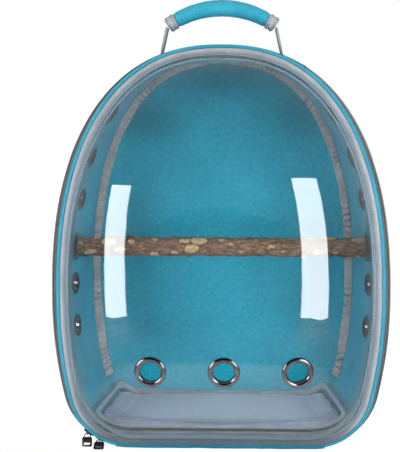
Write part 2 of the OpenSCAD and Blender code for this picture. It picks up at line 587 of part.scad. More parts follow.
// Middle of the strap at share t of its run, as [x, y, z]
function strap_mid(t) = [strap_top_x + (strap_end_x - strap_top_x) * t + 6 * sin(180 * t),
  strap_y + strap_bow * sin(180 * t),
  strap_top_z + (strap_end_z - strap_top_z) * t];
function strap_lean(t) = let (d = strap_mid(min(t + 0.02, 1)) - strap_mid(max(t - 0.02, 0)))
  atan2(d[1], -d[2]) * min(1, 8 * min(t, 1 - t));
function strap_ring(t) = let (m = strap_mid(t), lean = strap_lean(t),
    w = strap_w / 2 * (1 - 0.45 * pow(max(t - 0.55, 0) / 0.45, 2)), h = strap_t / 2,
    flat = [[w, -h * 0.3], [w, h * 0.3], [w * 0.8, h * 0.85], [0, h], [-w * 0.8, h * 0.85], [-w, h * 0.3],
      [-w, -h * 0.3], [-w * 0.8, -h * 0.85], [0, -h], [w * 0.8, -h * 0.85]])
  [for (q = flat) [m[0] + q[0], m[1] + q[1] * cos(lean), m[2] + q[1] * sin(lean)]];
module shoulder_strap() color(mesh_grey)
  skin([for (i = [0 : strap_rings]) strap_ring(1 - i / strap_rings)], false);
module shoulder_strap_right() shoulder_strap();
module shoulder_strap_left() mirror([1, 0, 0]) shoulder_strap();
module strap_yoke() color(dark_teal) translate([0, back_y + back_t + yoke_t, 0]) rotate([90, 0, 0])
  linear_extrude(height = yoke_t) polygon([[-strap_top_x - strap_w / 2 - 4, strap_top_z - 16],
    [strap_top_x + strap_w / 2 + 4, strap_top_z - 16], [strap_top_x + 14, strap_top_z + 20],
    [-strap_top_x - 14, strap_top_z + 20]]);

// A buckle hangs in a sewn loop under each strap. Webbing from a tab at the bottom corner passes
// up in front of the buckle's lower bar, over it and down behind it to a loose tail.
buckle_h = 26;
buckle_w = web_w + 9;
buckle_t = 4;
bar_h = 4;
loop_r = norm([buckle_t / 2, bar_h / 2]) + seat;
buckle_top = strap_end_z - 2 * loop_r;
tab_x = 112;
tab_z = 42;
tab_t = 3;
module strap_buckles() color(black) for (side = [-1, 1])
  translate([side * strap_end_x, strap_y, buckle_top - buckle_h / 2]) difference() {
    cube([buckle_w, buckle_t, buckle_h], center = true);
    for (z = [-1, 1]) translate([0, 0, z * (buckle_h / 4 - bar_h / 4)])
      cube([web_w + 2, buckle_t + 2, buckle_h / 2 - 1.5 * bar_h], center = true);
  }
module strap_loops() color(charcoal) for (side = [-1, 1])
  translate([side * strap_end_x - web_w / 2, strap_y, buckle_top - bar_h / 2])
    rotate([90, 0, 90]) linear_extrude(height = web_w) difference() {
      union() {
        circle(r = loop_r + web_t);
        translate([-loop_r - web_t, 0]) square([2 * (loop_r + web_t), 2 * loop_r + bar_h / 2]);
      }
      circle(r = loop_r);
      translate([-loop_r, 0]) square([2 * loop_r, 3 * loop_r]);
    }
// Middle line of the lower webbing, as [share of the way to the buckle, y, z]
low_bar_z = buckle_top - buckle_h + bar_h / 2;
web_r = loop_r + web_t / 2;
web_foot = [back_y + back_t + tab_t + web_t / 2 + seat, tab_z + tab_h * 0.55];
web_line = concat(
  [for (i = [0 : 4]) [i / 5, web_foot[0] + (strap_y + web_r - web_foot[0]) * i / 5,
    web_foot[1] + (low_bar_z - web_foot[1]) * i / 5 - 5 * sin(36 * i)]],
  [for (a = [0 : 30 : 180]) [1, strap_y + web_r * cos(a), low_bar_z + web_r * sin(a)]],
  [for (i = [1 : 3]) [1, strap_y - web_r + 0.3 * i, low_bar_z - 5 * i]]);
function across(line, i) = let (a = line[max(i - 1, 0)], b = line[min(i + 1, len(line) - 1)],
  d = [b[1] - a[1], b[2] - a[2]]) [-d[1], d[0]] / norm(d) * web_t / 2;
module strap_web() color(charcoal)
  skin([for (i = [0 : len(web_line) - 1]) let (m = web_line[i], n = across(web_line, i),
      x = tab_x + (strap_end_x - tab_x) * m[0])
    [for (q = [[1, -1], [-1, -1], [-1, 1], [1, 1]]) [x + q[0] * web_w / 2, m[1] + q[1] * n[0],
      m[2] + q[1] * n[1]]]], false);
module strap_web_right() strap_web();
module strap_web_left() mirror([1, 0, 0]) strap_web();
module strap_tabs() color(dark_teal) for (side = [-1, 1])
  mirror([side < 0 ? 1 : 0, 0, 0]) translate([tab_x, back_y + back_t + tab_t, tab_z])
    rotate([90, 0, 0]) linear_extrude(height = tab_t) polygon([[-tab_w / 2, tab_h * 0.63],
      [tab_w / 2, tab_h * 0.63], [tab_w / 2, 0], [0, -tab_h * 0.37], [-tab_w / 2, 0]]);

// Places its children on the left bottom corner of the zip line, with Z outwards and X up the zip
module on_corner(turn) translate([-corner_x, zip_y, stand_h + corner_r]) rotate([0, turn, 0])
  translate([0, 0, -corner_r]) rotate([0, 0, 180]) mirror([0, 0, 1]) children();
throat = 0.3;
loop_play = 0.4;
plate_out = coil_off + coil_t + throat;
plate_in = coil_off - throat - pow(slider_l / 2, 2) / corner_r;   // the flat plate clears the curved coil
bar_gap = wire_t + 2 * loop_play;              // room for the pull's loop between bar and plate
bar_off = plate_out + plate_t + bar_gap + bar_d / 2;
bar_half = 3;
// A slider: two plates joined by the post that parts the coils, and a bar on two short legs
module slider(post_end) {
  for (off = [plate_out, plate_in - plate_t]) translate([-slider_l / 2, -slider_w / 2, off])
    cube([slider_l, slider_w, plate_t]);
  translate([post_end * (slider_l / 2 - 1.25) - 1.25, -slit / 4, plate_in - plate_t / 2])
    cube([2.5, slit / 2, plate_out - plate_in + plate_t]);
  for (y = [-bar_half, bar_half - 0.8]) translate([-bar_d / 2, y, plate_out + plate_t / 2])
    cube([bar_d, 0.8, bar_off - plate_out - plate_t / 2]);
  translate([0, 0, bar_off]) rotate([90, 0, 0]) cylinder(h = 2 * bar_half, d = bar_d, center = true);
}
// A pull: a wire loop round the bar, widening down to a flat tab with a slot.
// Its origin is the middle of the loop's top wire, and it hangs along -Z.
loop_eye = bar_d / 2 + 0.8;
loop_foot = bar_half + 1.5;
module loop_outline(inset) hull() {
  translate([0, -loop_eye - wire_t / 2]) circle(r = loop_eye + wire_t - inset);
  translate([-pull_w * 0.4 + inset, -loop_foot]) square([pull_w * 0.8 - 2 * inset, 0.4]);
}
module pull() rotate([90, 0, 0]) {
  translate([0, 0, -wire_t / 2]) linear_extrude(height = wire_t) difference() {
    loop_outline(0);
    loop_outline(wire_t);
  }
  translate([0, 0, -0.9]) linear_extrude(height = 1.8) difference() {
    polygon([[-pull_w / 2 + 1.5, -loop_foot], [-pull_w / 2, -loop_foot - 1.5],
      [-pull_w / 2, -pull_l + 1], [-pull_w / 2 + 1, -pull_l], [pull_w / 2 - 1, -pull_l],
      [pull_w / 2, -pull_l + 1], [pull_w / 2, -loop_foot - 1.5], [pull_w / 2 - 1.5, -loop_foot]]);
    translate([-pull_w / 2 + 2, -pull_l + 2]) square([pull_w - 4, 2]);
  }
}
// Middle of a pull's top wire, which rests on the bar. The pull hangs down and forward to the table.
function wire_at(turn) = [-corner_x - (corner_r + bar_off) * sin(turn), zip_y,
  stand_h + corner_r - (corner_r + bar_off) * cos(turn) + bar_d / 2 + wire_t / 2 + loop_play];
function rest_lean(turn) = max(14, acos(min(1, (wire_at(turn)[2] - 1.4) / pull_l)));
module hung(turn) translate(wire_at(turn)) rotate([-rest_lean(turn), 0, 0]) pull();
module zip_slider_lower() color(black) on_corner(lower_slider_at) slider(1);
module zip_slider_upper() color(black) on_corner(upper_slider_at) slider(-1);
module zip_pull_lower() color(black) hung(lower_slider_at);
module zip_pull_upper() color(black) hung(upper_slider_at);

side_wall();
base_panel();
base_board();
back_panel();
back_piping();
seam_binding_inner();
front_lining();
shell_zip_tape();
shell_zip_coil();
hinge_strip();
side_eyelets_left();
side_eyelets_right();
side_washers_left();
side_washers_right();
perch();
perch_rods();
perch_inner_washers();
perch_outer_washers();
perch_nuts();
handle_patches();
back_pads();
strap_yoke();
shoulder_strap_left();
shoulder_strap_right();
strap_web_left();
strap_web_right();
strap_buckles();
strap_loops();
strap_tabs();
zip_slider_lower();
dome();
door_binding();
door_piping();
door_zip_tape();
door_zip_coil();
dome_eyelets();
dome_washers();
handle_webbing();
handle_grip();
handle_cuffs();
zip_slider_upper();
zip_pull_upper();
zip_pull_lower();
floor_mat();
mat_binding();
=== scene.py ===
# %% [markdown]
# # A bird travel carrier, dressed in Blender
# The carrier is a padded fabric shell with a clear domed door, a branch perch and a lift-out
# mat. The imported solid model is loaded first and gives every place. Each fabric, film and
# bark surface is then made here in more detail, and rides on the body that carries it.

# %% Load the solid model
import math
import bmesh
import bpy
import numpy as np
from mathutils import Matrix, Vector, noise


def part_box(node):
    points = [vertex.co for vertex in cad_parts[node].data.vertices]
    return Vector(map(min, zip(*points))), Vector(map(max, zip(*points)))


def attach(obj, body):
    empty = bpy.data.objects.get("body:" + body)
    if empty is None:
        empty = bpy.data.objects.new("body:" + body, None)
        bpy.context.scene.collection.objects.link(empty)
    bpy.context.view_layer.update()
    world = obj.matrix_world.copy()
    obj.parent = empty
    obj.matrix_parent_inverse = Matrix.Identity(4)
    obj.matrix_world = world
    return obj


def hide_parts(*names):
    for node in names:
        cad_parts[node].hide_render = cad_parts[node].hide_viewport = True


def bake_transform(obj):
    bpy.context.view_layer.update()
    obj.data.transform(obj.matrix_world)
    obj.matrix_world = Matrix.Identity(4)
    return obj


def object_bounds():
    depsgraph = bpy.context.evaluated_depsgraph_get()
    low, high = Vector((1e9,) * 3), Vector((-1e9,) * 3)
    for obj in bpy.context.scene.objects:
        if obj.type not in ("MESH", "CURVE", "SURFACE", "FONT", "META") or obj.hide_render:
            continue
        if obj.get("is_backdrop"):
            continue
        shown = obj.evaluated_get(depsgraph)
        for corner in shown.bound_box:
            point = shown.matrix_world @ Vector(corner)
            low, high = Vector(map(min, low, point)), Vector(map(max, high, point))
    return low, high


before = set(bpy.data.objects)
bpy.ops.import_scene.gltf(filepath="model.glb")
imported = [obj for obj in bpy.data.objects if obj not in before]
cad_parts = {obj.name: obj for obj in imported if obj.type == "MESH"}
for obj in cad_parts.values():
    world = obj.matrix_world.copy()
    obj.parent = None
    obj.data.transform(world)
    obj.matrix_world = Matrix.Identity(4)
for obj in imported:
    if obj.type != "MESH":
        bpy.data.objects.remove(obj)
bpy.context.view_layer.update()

MM = 0.001


def new_object(name, data):
    """An object that is linked to the scene."""
    made = bpy.data.objects.new(name, data)
    bpy.context.scene.collection.objects.link(made)
    return made


# %% [markdown]
# ## The outline that everything follows
# The shell is an arch: a round bottom corner, a nearly straight side and a superellipse over
# the top, mirrored, with a flat base. Every band, zip and seam runs along this one line at its
# own depth, so the outline is worked out once, in millimetres, with the sizes of the solids.

# %% Sizes of the shell
SHELL_W, SHELL_H, WIDEST_Z, ARCH_POWER = 344, 406.5, 150, 2.35
SIDE_R, CORNER_R, SHELL_D, BACK_W, RIM_W, RIM_D = 440, 64, 146, 304, 332, 14
STAND_H, WALL_T, BACK_T, ZIP_FLAT = 4.5, 4, 8, 4.5
ZIP_Y, BACK_Y = -SHELL_D / 2, SHELL_D / 2
RIM_Y = ZIP_Y - RIM_D
SLIT, TAPE_W, TAPE_T, COIL_W, COIL_T = 1.6, 11, 1, 2.2, 3.2
WALL_Y = ZIP_Y + SLIT / 2 + TAPE_W
PIPING_D, BINDING_W, BINDING_T, DOME_T = 3.5, 8, 1.4, 1.2
SIDE_X = SHELL_W / 2 - SIDE_R
CORNER_X = SIDE_X + math.sqrt((SIDE_R - CORNER_R) ** 2 - (WIDEST_Z - CORNER_R) ** 2)
CORNER_TURN = 90 - math.degrees(math.asin((WIDEST_Z - CORNER_R) / (SIDE_R - CORNER_R)))
FINE_STEPS, CORD_SIDES = 1500, 14


def arc_at(x, z, r, turn):
    t = math.radians(turn)
    return x + r * math.sin(t), z - r * math.cos(t), math.sin(t), -math.cos(t)


def half_at(u):
    """Point and outward direction on the right half. u runs to 1 round the corner, to 2 up the
    side and to 3 over the top."""
    if u <= 1:
        return arc_at(CORNER_X, CORNER_R, CORNER_R, u * CORNER_TURN)
    if u <= 2:
        return arc_at(SIDE_X, WIDEST_Z, SIDE_R, CORNER_TURN + (u - 1) * (90 - CORNER_TURN))
    t, e, high = math.radians(min((u - 2) * 90, 90)), 2 / ARCH_POWER, SHELL_H - WIDEST_Z
    c, s, a = max(math.cos(t), 0.0), math.sin(t), SHELL_W / 2
    nx, nz = c ** (2 - e) / a, s ** (2 - e) / high
    n = math.hypot(nx, nz)
    return a * c ** e, WIDEST_Z + high * s ** e, nx / n, nz / n


def outline(step=3.0, right_turn=0.0, left_turn=0.0, closed=False):
    """Stations step mm apart from the right bottom corner over the top to the left one: x, z,
    the outward direction and the run so far."""
    p = [half_at(u) for u in np.linspace(right_turn / CORNER_TURN, 3, FINE_STEPS)]
    left = map(half_at, np.linspace(3, left_turn / CORNER_TURN, FINE_STEPS)[1:])
    p += [(-q[0], q[1], -q[2], q[3]) for q in left]
    if closed:
        p += [(x, 0.0, 0.0, -1.0) for x in np.linspace(-CORNER_X, CORNER_X, 150)[1:]]
    p = np.array(p)
    run = np.concatenate([[0], np.cumsum(np.hypot(*np.diff(p[:, :2], axis=0).T))])
    even = np.linspace(0, run[-1], max(int(round(run[-1] / step)), 8) + 1)
    out = np.stack([np.interp(even, run, p[:, k]) for k in range(4)] + [even], 1)
    out[:, 2:4] /= np.hypot(out[:, 2], out[:, 3])[:, None]
    return out[:-1] if closed else out


def taper(y):
    """Share of the full width that the shell has at depth y."""
    far = max(abs(y - ZIP_Y) - ZIP_FLAT, 0)
    if y < ZIP_Y:
        return 1 + (RIM_W / SHELL_W - 1) * far / (RIM_D - ZIP_FLAT)
    return 1 + (BACK_W / SHELL_W - 1) * far / (SHELL_D - ZIP_FLAT)


def half_width(h):
    """Half width of the outline at height h over its flat base."""
    if h > WIDEST_Z:
        share = ((h - WIDEST_Z) / (SHELL_H - WIDEST_Z)) ** ARCH_POWER
        return SHELL_W / 2 * max(1 - share, 0) ** (1 / ARCH_POWER)
    if h > CORNER_R * (1 - math.cos(math.radians(CORNER_TURN))):
        return SIDE_X + math.sqrt(SIDE_R ** 2 - (h - WIDEST_Z) ** 2)
    return CORNER_X + math.sqrt(max(CORNER_R ** 2 - (h - CORNER_R) ** 2, 0))


print("outline", round(outline(closed=True)[-1, 4]), "mm round")

# %% [markdown]
# ## Camera
# The photograph is taken from in front and a little above, from about 1.2 m, so the camera is
# level with the top third of the carrier and tips down until the carrier fills the frame.

# %% Camera
FOCAL_PX, PICTURE_H = 1158, 452
# the middle of the picture looks this far aside and down for each metre ahead
AIM_SIDE, AIM_DOWN = -38.2 / 1145, -122.5 / 1145
camera = new_object("camera", bpy.data.cameras.new("camera"))
camera.location = (0.018, -1.237, 0.3545)
camera.rotation_mode = "QUATERNION"
camera.rotation_quaternion = Vector((AIM_SIDE, 1, AIM_DOWN)).to_track_quat("-Z", "Y")
camera.data.sensor_width = 36
camera.data.lens = FOCAL_PX / PICTURE_H * camera.data.sensor_width
bpy.context.scene.camera = camera
print("camera lens", round(camera.data.lens, 1), "mm")

# %% [markdown]
# ## Making a surface from numbers
# Bands, tapes and piping all have one section that travels along the outline. The helper lays
# the section's points at each station, joins them into a grid of quads, and stores a UV map in
# metres: the run along the band and the run round its section. Weaves and ribs read that map,
# so they keep their real size and turn with the band.

# %% Grid helper
def face_outwards(piece):
    """Turns every face over if the closed mesh has a negative volume."""
    bm = bmesh.new()
    bm.from_mesh(piece.data)
    if bm.calc_volume(signed=True) < 0:
        bmesh.ops.reverse_faces(bm, faces=bm.faces)
        bm.to_mesh(piece.data)
    bm.free()


def grid(name, rows, closed=False):
    """Rows of equally many points in mm, joined into a skin of quads that looks outwards.
    closed joins the last row to the first. Otherwise each end gets a cap."""
    rows = np.asarray(rows, float)
    n, m = rows.shape[:2]
    runs = []
    for axis, wrap in ((0, rows[0] - rows[-1]), (1, rows[:, 0] - rows[:, -1])):
        gaps = np.linalg.norm(np.diff(rows, axis=axis), axis=2).mean(1 - axis)
        gaps = np.append(gaps, np.linalg.norm(wrap, axis=1).mean())
        runs.append(np.concatenate([[0], np.cumsum(gaps)]) * MM)
    along, across = runs
    faces, uv = [], []
    for i in range(n if closed else n - 1):
        for j in range(m):
            a, b = (i + 1) % n, (j + 1) % m
            faces.append((i * m + j, a * m + j, a * m + b, i * m + b))
            uv += [(along[i], across[j]), (along[i + 1], across[j]),
                   (along[i + 1], across[j + 1]), (along[i], across[j + 1])]
    if not closed:
        for i, order in ((0, range(m)), (n - 1, range(m - 1, -1, -1))):
            faces.append(tuple(i * m + j for j in order))
            uv += [(along[i], across[j]) for j in order]
    mesh = bpy.data.meshes.new(name)
    mesh.from_pydata((rows.reshape(-1, 3) * MM).tolist(), [], faces)
    for loop, value in zip(mesh.uv_layers.new(name="UVMap").data, uv):
        loop.uv = value
    mesh.validate()
    piece = new_object(name, mesh)
    face_outwards(piece)
    mesh.shade_smooth()
    return piece


def rounded(corners, r, steps=3, edge=4.0):
    """A closed section from its corners, with each corner rounded and each long edge divided."""
    corners, out = [np.array(c, float) for c in corners], []

    def divide(end):
        gap = end - out[-1]
        extra = int(np.linalg.norm(gap) / edge)
        return [out[-1] + gap * k / (extra + 1) for k in range(1, extra + 1)]

    for i, c in enumerate(corners):
        sides = corners[i - 1] - c, corners[(i + 1) % len(corners)] - c
        cut = min(r, *(np.linalg.norm(side) * 0.45 for side in sides))
        a, b = (c + side / np.linalg.norm(side) * cut for side in sides)
        if out:
            out += divide(a)
        out += [(1 - t) ** 2 * a + 2 * t * (1 - t) * c + t * t * b
                for t in np.linspace(0, 1, steps + 1)]
    return np.array(out + divide(out[0]))


def box_section(low, high, y_low, y_high, r=0.5, **more):
    return rounded([(low, y_low), (high, y_low), (high, y_high), (low, y_high)], r, **more)


def circle(sides):
    """Angles of evenly spaced points round a circle."""
    return np.linspace(0, 2 * math.pi, sides, endpoint=False)


def round_section(off, y, d):
    return np.array([(off + d / 2 * math.cos(a), y + d / 2 * math.sin(a))
                     for a in circle(CORD_SIDES)])


def within(v, low=0):
    """A number held between low and 1."""
    return min(max(v, low), 1)


def lift(p, amount, size, seed=0.0):
    """Smooth noise of the given size in mm at a point, scaled to amount mm."""
    place = (p[0] / size + seed, p[1] / size - seed, p[2] / size + 3 * seed)
    return amount * noise.noise(Vector(place))


def store(piece, name, values):
    """Keeps a number for each point of a mesh, for a finish to read."""
    made = piece.data.attributes.new(name, "FLOAT", "POINT")
    made.data.foreach_set("value", values)


def sweep(name, path, section, closed=False, relief=None, at_taper=None):
    """A section of (off, y) points carried along the outline. relief(run, point) lifts each
    point along the section, and how far it sinks is stored for the cloth's painted crease shade."""
    out = section - section.mean(0)
    out /= np.maximum(np.linalg.norm(out, axis=1), 1e-6)[:, None]
    rows, sunk = [], []
    for x, z, nx, nz, run in path:
        row = []
        for (off, y), way in zip(section, out):
            share = taper(y) if at_taper is None else taper(at_taper)
            p = np.array((x * share + nx * off, y, STAND_H + z + nz * off))
            if relief is not None:
                k = relief(run, p)
                sunk.append(max(-k, 0.0))
                p = p + k * np.array((nx * way[0], way[1], nz * way[0]))
            row.append(p)
        rows.append(row)
    made = grid(name, rows, closed)
    if sunk:
        store(made, "sunk", sunk)
    return made


print("a band has", len(outline(closed=True)), "stations")

# %% [markdown]
# ## What repeats: teeth and stitches
# Zip teeth, stitches and the like are one small shape set again and again along a line. A
# Geometry Nodes tree does that: it turns a line of edges into a curve, puts points on it at a
# fixed spacing, sets the small shape on each point with its X along the line and its Z away
# from the surface, and realises the copies so that they export as a plain mesh.

# %% Node helpers
def add(tree, kind, links=None, **settings):
    """Adds a node. Settings go to its properties or its sockets. Links join its inputs to
    sockets, and a node stands for its first output."""
    n = tree.nodes.new(kind)
    for key, value in settings.items():
        if hasattr(n, key):
            setattr(n, key, value)
        else:
            n.inputs[key.replace("_", " ")].default_value = value
    for socket, source in (links or {}).items():
        if isinstance(source, bpy.types.Node):
            source = source.outputs[0]
        tree.links.new(source, n.inputs[socket])
    return n


def maths(tree, operation, *terms, kind="ShaderNodeMath"):
    """A Math node. Each term is a number, a vector or something to link from."""
    links = {i: t for i, t in enumerate(terms) if not isinstance(t, (int, float, tuple))}
    n = add(tree, kind, links, operation=operation)
    for i, term in enumerate(terms):
        if i not in links:
            n.inputs[i].default_value = term
    return n


def vector_maths(tree, operation, *terms):
    return maths(tree, operation, *terms, kind="ShaderNodeVectorMath")


def scaled(tree, vector, factor):
    """A colour or vector times a linked number."""
    return add(tree, "ShaderNodeVectorMath", {0: vector, "Scale": factor}, operation="SCALE")


def remap(tree, value, low, high, to_low, to_high, **more):
    return add(tree, "ShaderNodeMapRange", {"Value": value}, From_Min=low, From_Max=high,
               To_Min=to_low, To_Max=to_high, **more)


def noise_at(tree, where, scale, detail, **more):
    return add(tree, "ShaderNodeTexNoise", {"Vector": where}, Scale=scale, Detail=detail, **more)


def geometry_tree(name, inputs):
    """An empty Geometry Nodes tree with a mesh input and output, and the named inputs given as
    (name, socket type, default)."""
    tree = bpy.data.node_groups.new(name, "GeometryNodeTree")
    for label, kind, default in [("Geometry", "Geometry", None)] + inputs:
        made = tree.interface.new_socket(label, in_out="INPUT", socket_type="NodeSocket" + kind)
        if default is not None:
            made.default_value = default
    tree.interface.new_socket("Geometry", in_out="OUTPUT", socket_type="NodeSocketGeometry")
    return tree, add(tree, "NodeGroupInput")


def end_tree(tree, shape, finish):
    """Realises the copies, gives them their finish and ends the tree."""
    real = add(tree, "GeometryNodeRealizeInstances", {"Geometry": shape})
    painted = add(tree, "GeometryNodeSetMaterial", {"Geometry": real, "Material": finish})
    add(tree, "NodeGroupOutput", {"Geometry": painted})
    print("tree", tree.name, "has", len(tree.nodes), "nodes")


def apply_modifiers(piece):
    """Keeps what the modifiers make as a plain mesh."""
    bpy.context.view_layer.update()
    graph = bpy.context.evaluated_depsgraph_get()
    made = bpy.data.meshes.new_from_object(piece.evaluated_get(graph))
    piece.modifiers.clear()
    piece.data = made
    return piece


def run_tree(piece, tree, **values):
    """Runs a tree on a piece with its inputs set by name, and keeps the result."""
    modifier = piece.modifiers.new(tree.name, "NODES")
    modifier.node_group = tree
    for item in tree.interface.items_tree:
        key = item.name.replace(" ", "_").lower()
        if item.in_out == "INPUT" and key in values:
            modifier[item.identifier] = values[key]
    apply_modifiers(piece).data.name = piece.name
    return piece


along_line, line_in = geometry_tree("set_along_a_line", [
    ("Spacing", "Float", 0.003), ("Unit", "Object", None), ("Finish", "Material", None),
    ("Wobble", "Float", 0.0), ("Seed", "Int", 1)])
curve = add(along_line, "GeometryNodeMeshToCurve", {"Mesh": line_in})
spaced = add(along_line, "GeometryNodeResampleCurve",
             {"Curve": curve, "Length": line_in.outputs["Spacing"]}, mode="LENGTH")
tangent = add(along_line, "GeometryNodeInputTangent")
outward = add(along_line, "GeometryNodeInputNamedAttribute", data_type="FLOAT_VECTOR",
              Name="outward")
lie = add(along_line, "FunctionNodeAlignRotationToVector", {"Vector": tangent}, axis="X")
stand = add(along_line, "FunctionNodeAlignRotationToVector",
            {"Rotation": lie, "Vector": outward}, axis="Z", pivot_axis="X")
sway = add(along_line, "FunctionNodeRandomValue", {"Seed": line_in.outputs["Seed"]},
           data_type="FLOAT", Min=-1.0, Max=1.0)
turn = maths(along_line, "MULTIPLY", sway.outputs[1], line_in.outputs["Wobble"])
turned = add(along_line, "ShaderNodeCombineXYZ", {"Z": turn})
rotated = add(along_line, "FunctionNodeRotateRotation", {"Rotation": stand, "Rotate By": turned},
              rotation_space="LOCAL")
unit = add(along_line, "GeometryNodeObjectInfo", {"Object": line_in.outputs["Unit"]})
copies = add(along_line, "GeometryNodeInstanceOnPoints",
             {"Points": spaced, "Instance": unit.outputs["Geometry"], "Rotation": rotated})
end_tree(along_line, copies, line_in.outputs["Finish"])


# %% Lines and small shapes for the tree
def line_object(name, runs):
    """Edges through each run of (point, outward direction), with the direction kept as an
    attribute."""
    points, edges, ways = [], [], []
    for run in runs:
        start = len(points)
        points += [list(np.asarray(p) * MM) for p, _ in run]
        ways += [w for _, w in run]
        edges += [(start + i, start + i + 1) for i in range(len(run) - 1)]
    mesh = bpy.data.meshes.new(name)
    mesh.from_pydata(points, edges, [])
    made = mesh.attributes.new("outward", "FLOAT_VECTOR", "POINT")
    made.data.foreach_set("vector", np.asarray(ways, np.float32).ravel())
    return new_object(name, mesh)


def small_shape(name, rows):
    """A small closed shape for the tree to copy, from rows of points in mm."""
    shape = grid(name, rows)
    shape.hide_render = True
    small_shapes.append(shape)
    return shape


def skin_line(path, off, y, lean=(1.0, 0.0)):
    """A line along the outline at one off and depth. lean is how far outwards and how far to
    the front its shapes stand."""
    return [((x * taper(y) + nx * off, y, STAND_H + z + nz * off),
             (nx * lean[0], -lean[1], nz * lean[0])) for x, z, nx, nz, run in path]


small_shapes = []
TOOTH_R, TOOTH_TALL, TOOTH_WIRE = 0.95, 1.42, 0.36
stitch_shape = small_shape("stitch_shape", [
    [(x, r * math.cos(a), 0.12 + r * 0.7 * math.sin(a)) for a in circle(6)]
    for x, r in ((-1.15, 0.1), (-0.95, 0.3), (0.0, 0.38), (0.95, 0.3), (1.15, 0.1))])
tooth_shape = small_shape("tooth_shape", [
    [(0.52 * math.cos(b), (TOOTH_R + TOOTH_WIRE * math.sin(b)) * math.cos(a),
      (TOOTH_TALL + TOOTH_WIRE * math.sin(b)) * math.sin(a)) for b in circle(6)]
    for a in circle(12)])
print("a tooth has", len(tooth_shape.data.polygons), "faces")

# %% [markdown]
# ## Finishes
# The carrier is mostly plain-woven polyester cloth in teal, bound with ribbed grey tape. Each
# finish starts from the real stuff and how it is made. The threads of the cloth are about half
# a millimetre, finer than a pixel of the picture, so the weave is drawn two to three times
# coarser, as coarse as it needs to show. Lengths in the finishes are in millimetres.

# %% Colour and cloth
def srgb(hex_colour):
    """Linear colour from an sRGB hex value."""
    parts = [int(hex_colour[i:i + 2], 16) / 255 for i in (1, 3, 5)]
    return tuple(c / 12.92 if c <= 0.04045 else ((c + 0.055) / 1.055) ** 2.4
                 for c in parts) + (1.0,)


def blank_finish(name):
    """A material with an empty tree."""
    finish = bpy.data.materials.new(name)
    finish.use_nodes = True
    finish.node_tree.nodes.clear()
    return finish, finish.node_tree


def new_finish(name, **shader):
    """A material whose Principled shader has these plain values."""
    finish, tree = blank_finish(name)
    body = add(tree, "ShaderNodeBsdfPrincipled", **shader)
    add(tree, "ShaderNodeOutputMaterial", {"Surface": body})
    return finish, tree, body


def join_shader(tree, body, **sources):
    """Links nodes to the shader's sockets."""
    for socket, source in sources.items():
        tree.links.new(source.outputs[0], body.inputs[socket.replace("_", " ")])


def bump(tree, height, strength, distance):
    """A bump of so many mm."""
    return add(tree, "ShaderNodeBump", {"Height": height}, Strength=strength,
               Distance=distance * MM)


def object_place(tree):
    return add(tree, "ShaderNodeTexCoord").outputs["Object"]


def attribute(tree, name):
    return add(tree, "ShaderNodeAttribute", attribute_name=name).outputs["Fac"]


def two_tone(tree, share, dark, pale, low=0.35, high=0.65):
    """A ramp from a dark shade to a pale one."""
    ramp = add(tree, "ShaderNodeValToRGB", {"Fac": share})
    first, last = ramp.color_ramp.elements
    first.position, last.position = low, high
    first.color, last.color = srgb(dark), srgb(pale)
    return ramp


def mottled(tree, where, pale, dark, size):
    """Colour that drifts between two shades over patches of the given size in mm."""
    patch = noise_at(tree, where, 1 / (size * MM), 3.0, Roughness=0.55)
    return two_tone(tree, patch, dark, pale)


def colour_mix(tree, share, first, second):
    """The first colour, turned by share into the second, which may be a hex value."""
    mix = add(tree, "ShaderNodeMix", {0: share, 6: first}, data_type="RGBA")
    if isinstance(second, str):
        mix.inputs[7].default_value = srgb(second)
    else:
        tree.links.new(second.outputs[0], mix.inputs[7])
    return mix.outputs[2]


def recolour(finish, change):
    """Puts one more step between a finish's colour and its shader."""
    colour = finish.node_tree.nodes["Principled BSDF"].inputs["Base Color"]
    finish.node_tree.links.new(change(finish.node_tree, colour.links[0].from_socket), colour)


# a Wave texture of scale 1 has a band every 0.31416 m
WAVE_BAND = 0.31416


def woven(name, pale, dark, thread=1.7, depth=0.25, rough=0.75, sheen=0.1, by_uv=False,
          ribs=0.0, patch=50, contrast=0.24, slub=0.08):
    """Woven cloth. Threads cross thread mm apart. With ribs, a rib of that pitch runs across
    the band instead. Creases and hollows, where the mesh says how far it sinks, get painted shade."""
    finish, tree, body = new_finish(name, Sheen_Weight=sheen, Sheen_Roughness=0.45,
                                    Specular_IOR_Level=0.22)
    where = add(tree, "ShaderNodeTexCoord").outputs["UV" if by_uv else "Object"]
    pitch = [(ribs or thread) * MM, thread * MM, thread * MM]
    wave = [add(tree, "ShaderNodeTexWave", {"Vector": where}, wave_type="BANDS",
                bands_direction=way, Scale=WAVE_BAND / gap, Distortion=0.25, Detail=1.0,
                Detail_Scale=0.6).outputs["Fac"]
            for way, gap in zip("XY" if by_uv else "XZY", pitch)]
    cloth = maths(tree, "ADD" if ribs else "MULTIPLY", wave[0], wave[1])
    if not by_uv:
        cloth = maths(tree, "ADD", cloth, maths(tree, "MULTIPLY", wave[2], wave[1]))
    fuzz = noise_at(tree, where, 1 / (2.5 * thread * MM), 2.0)
    gaps = remap(tree, cloth, 0.0, 1.2, 1 - contrast, 1.0)
    uneven = remap(tree, fuzz, 0.3, 0.7, 1 - slub, 1 + slub)
    # painted shade in creases: the cloth darkens where the mesh sinks
    crease_shade = remap(tree, attribute(tree, "sunk"), 0.12, 1.1, 1.0, 0.42)
    tone = maths(tree, "MULTIPLY", maths(tree, "MULTIPLY", gaps, uneven), crease_shade)
    join_shader(tree, body,
                Base_Color=scaled(tree, mottled(tree, where, pale, dark, patch), tone),
                Roughness=remap(tree, fuzz, 0.0, 1.0, rough - 0.1, rough + 0.1),
                Normal=bump(tree, maths(tree, "ADD", cloth, fuzz), 0.55, depth))
    return finish


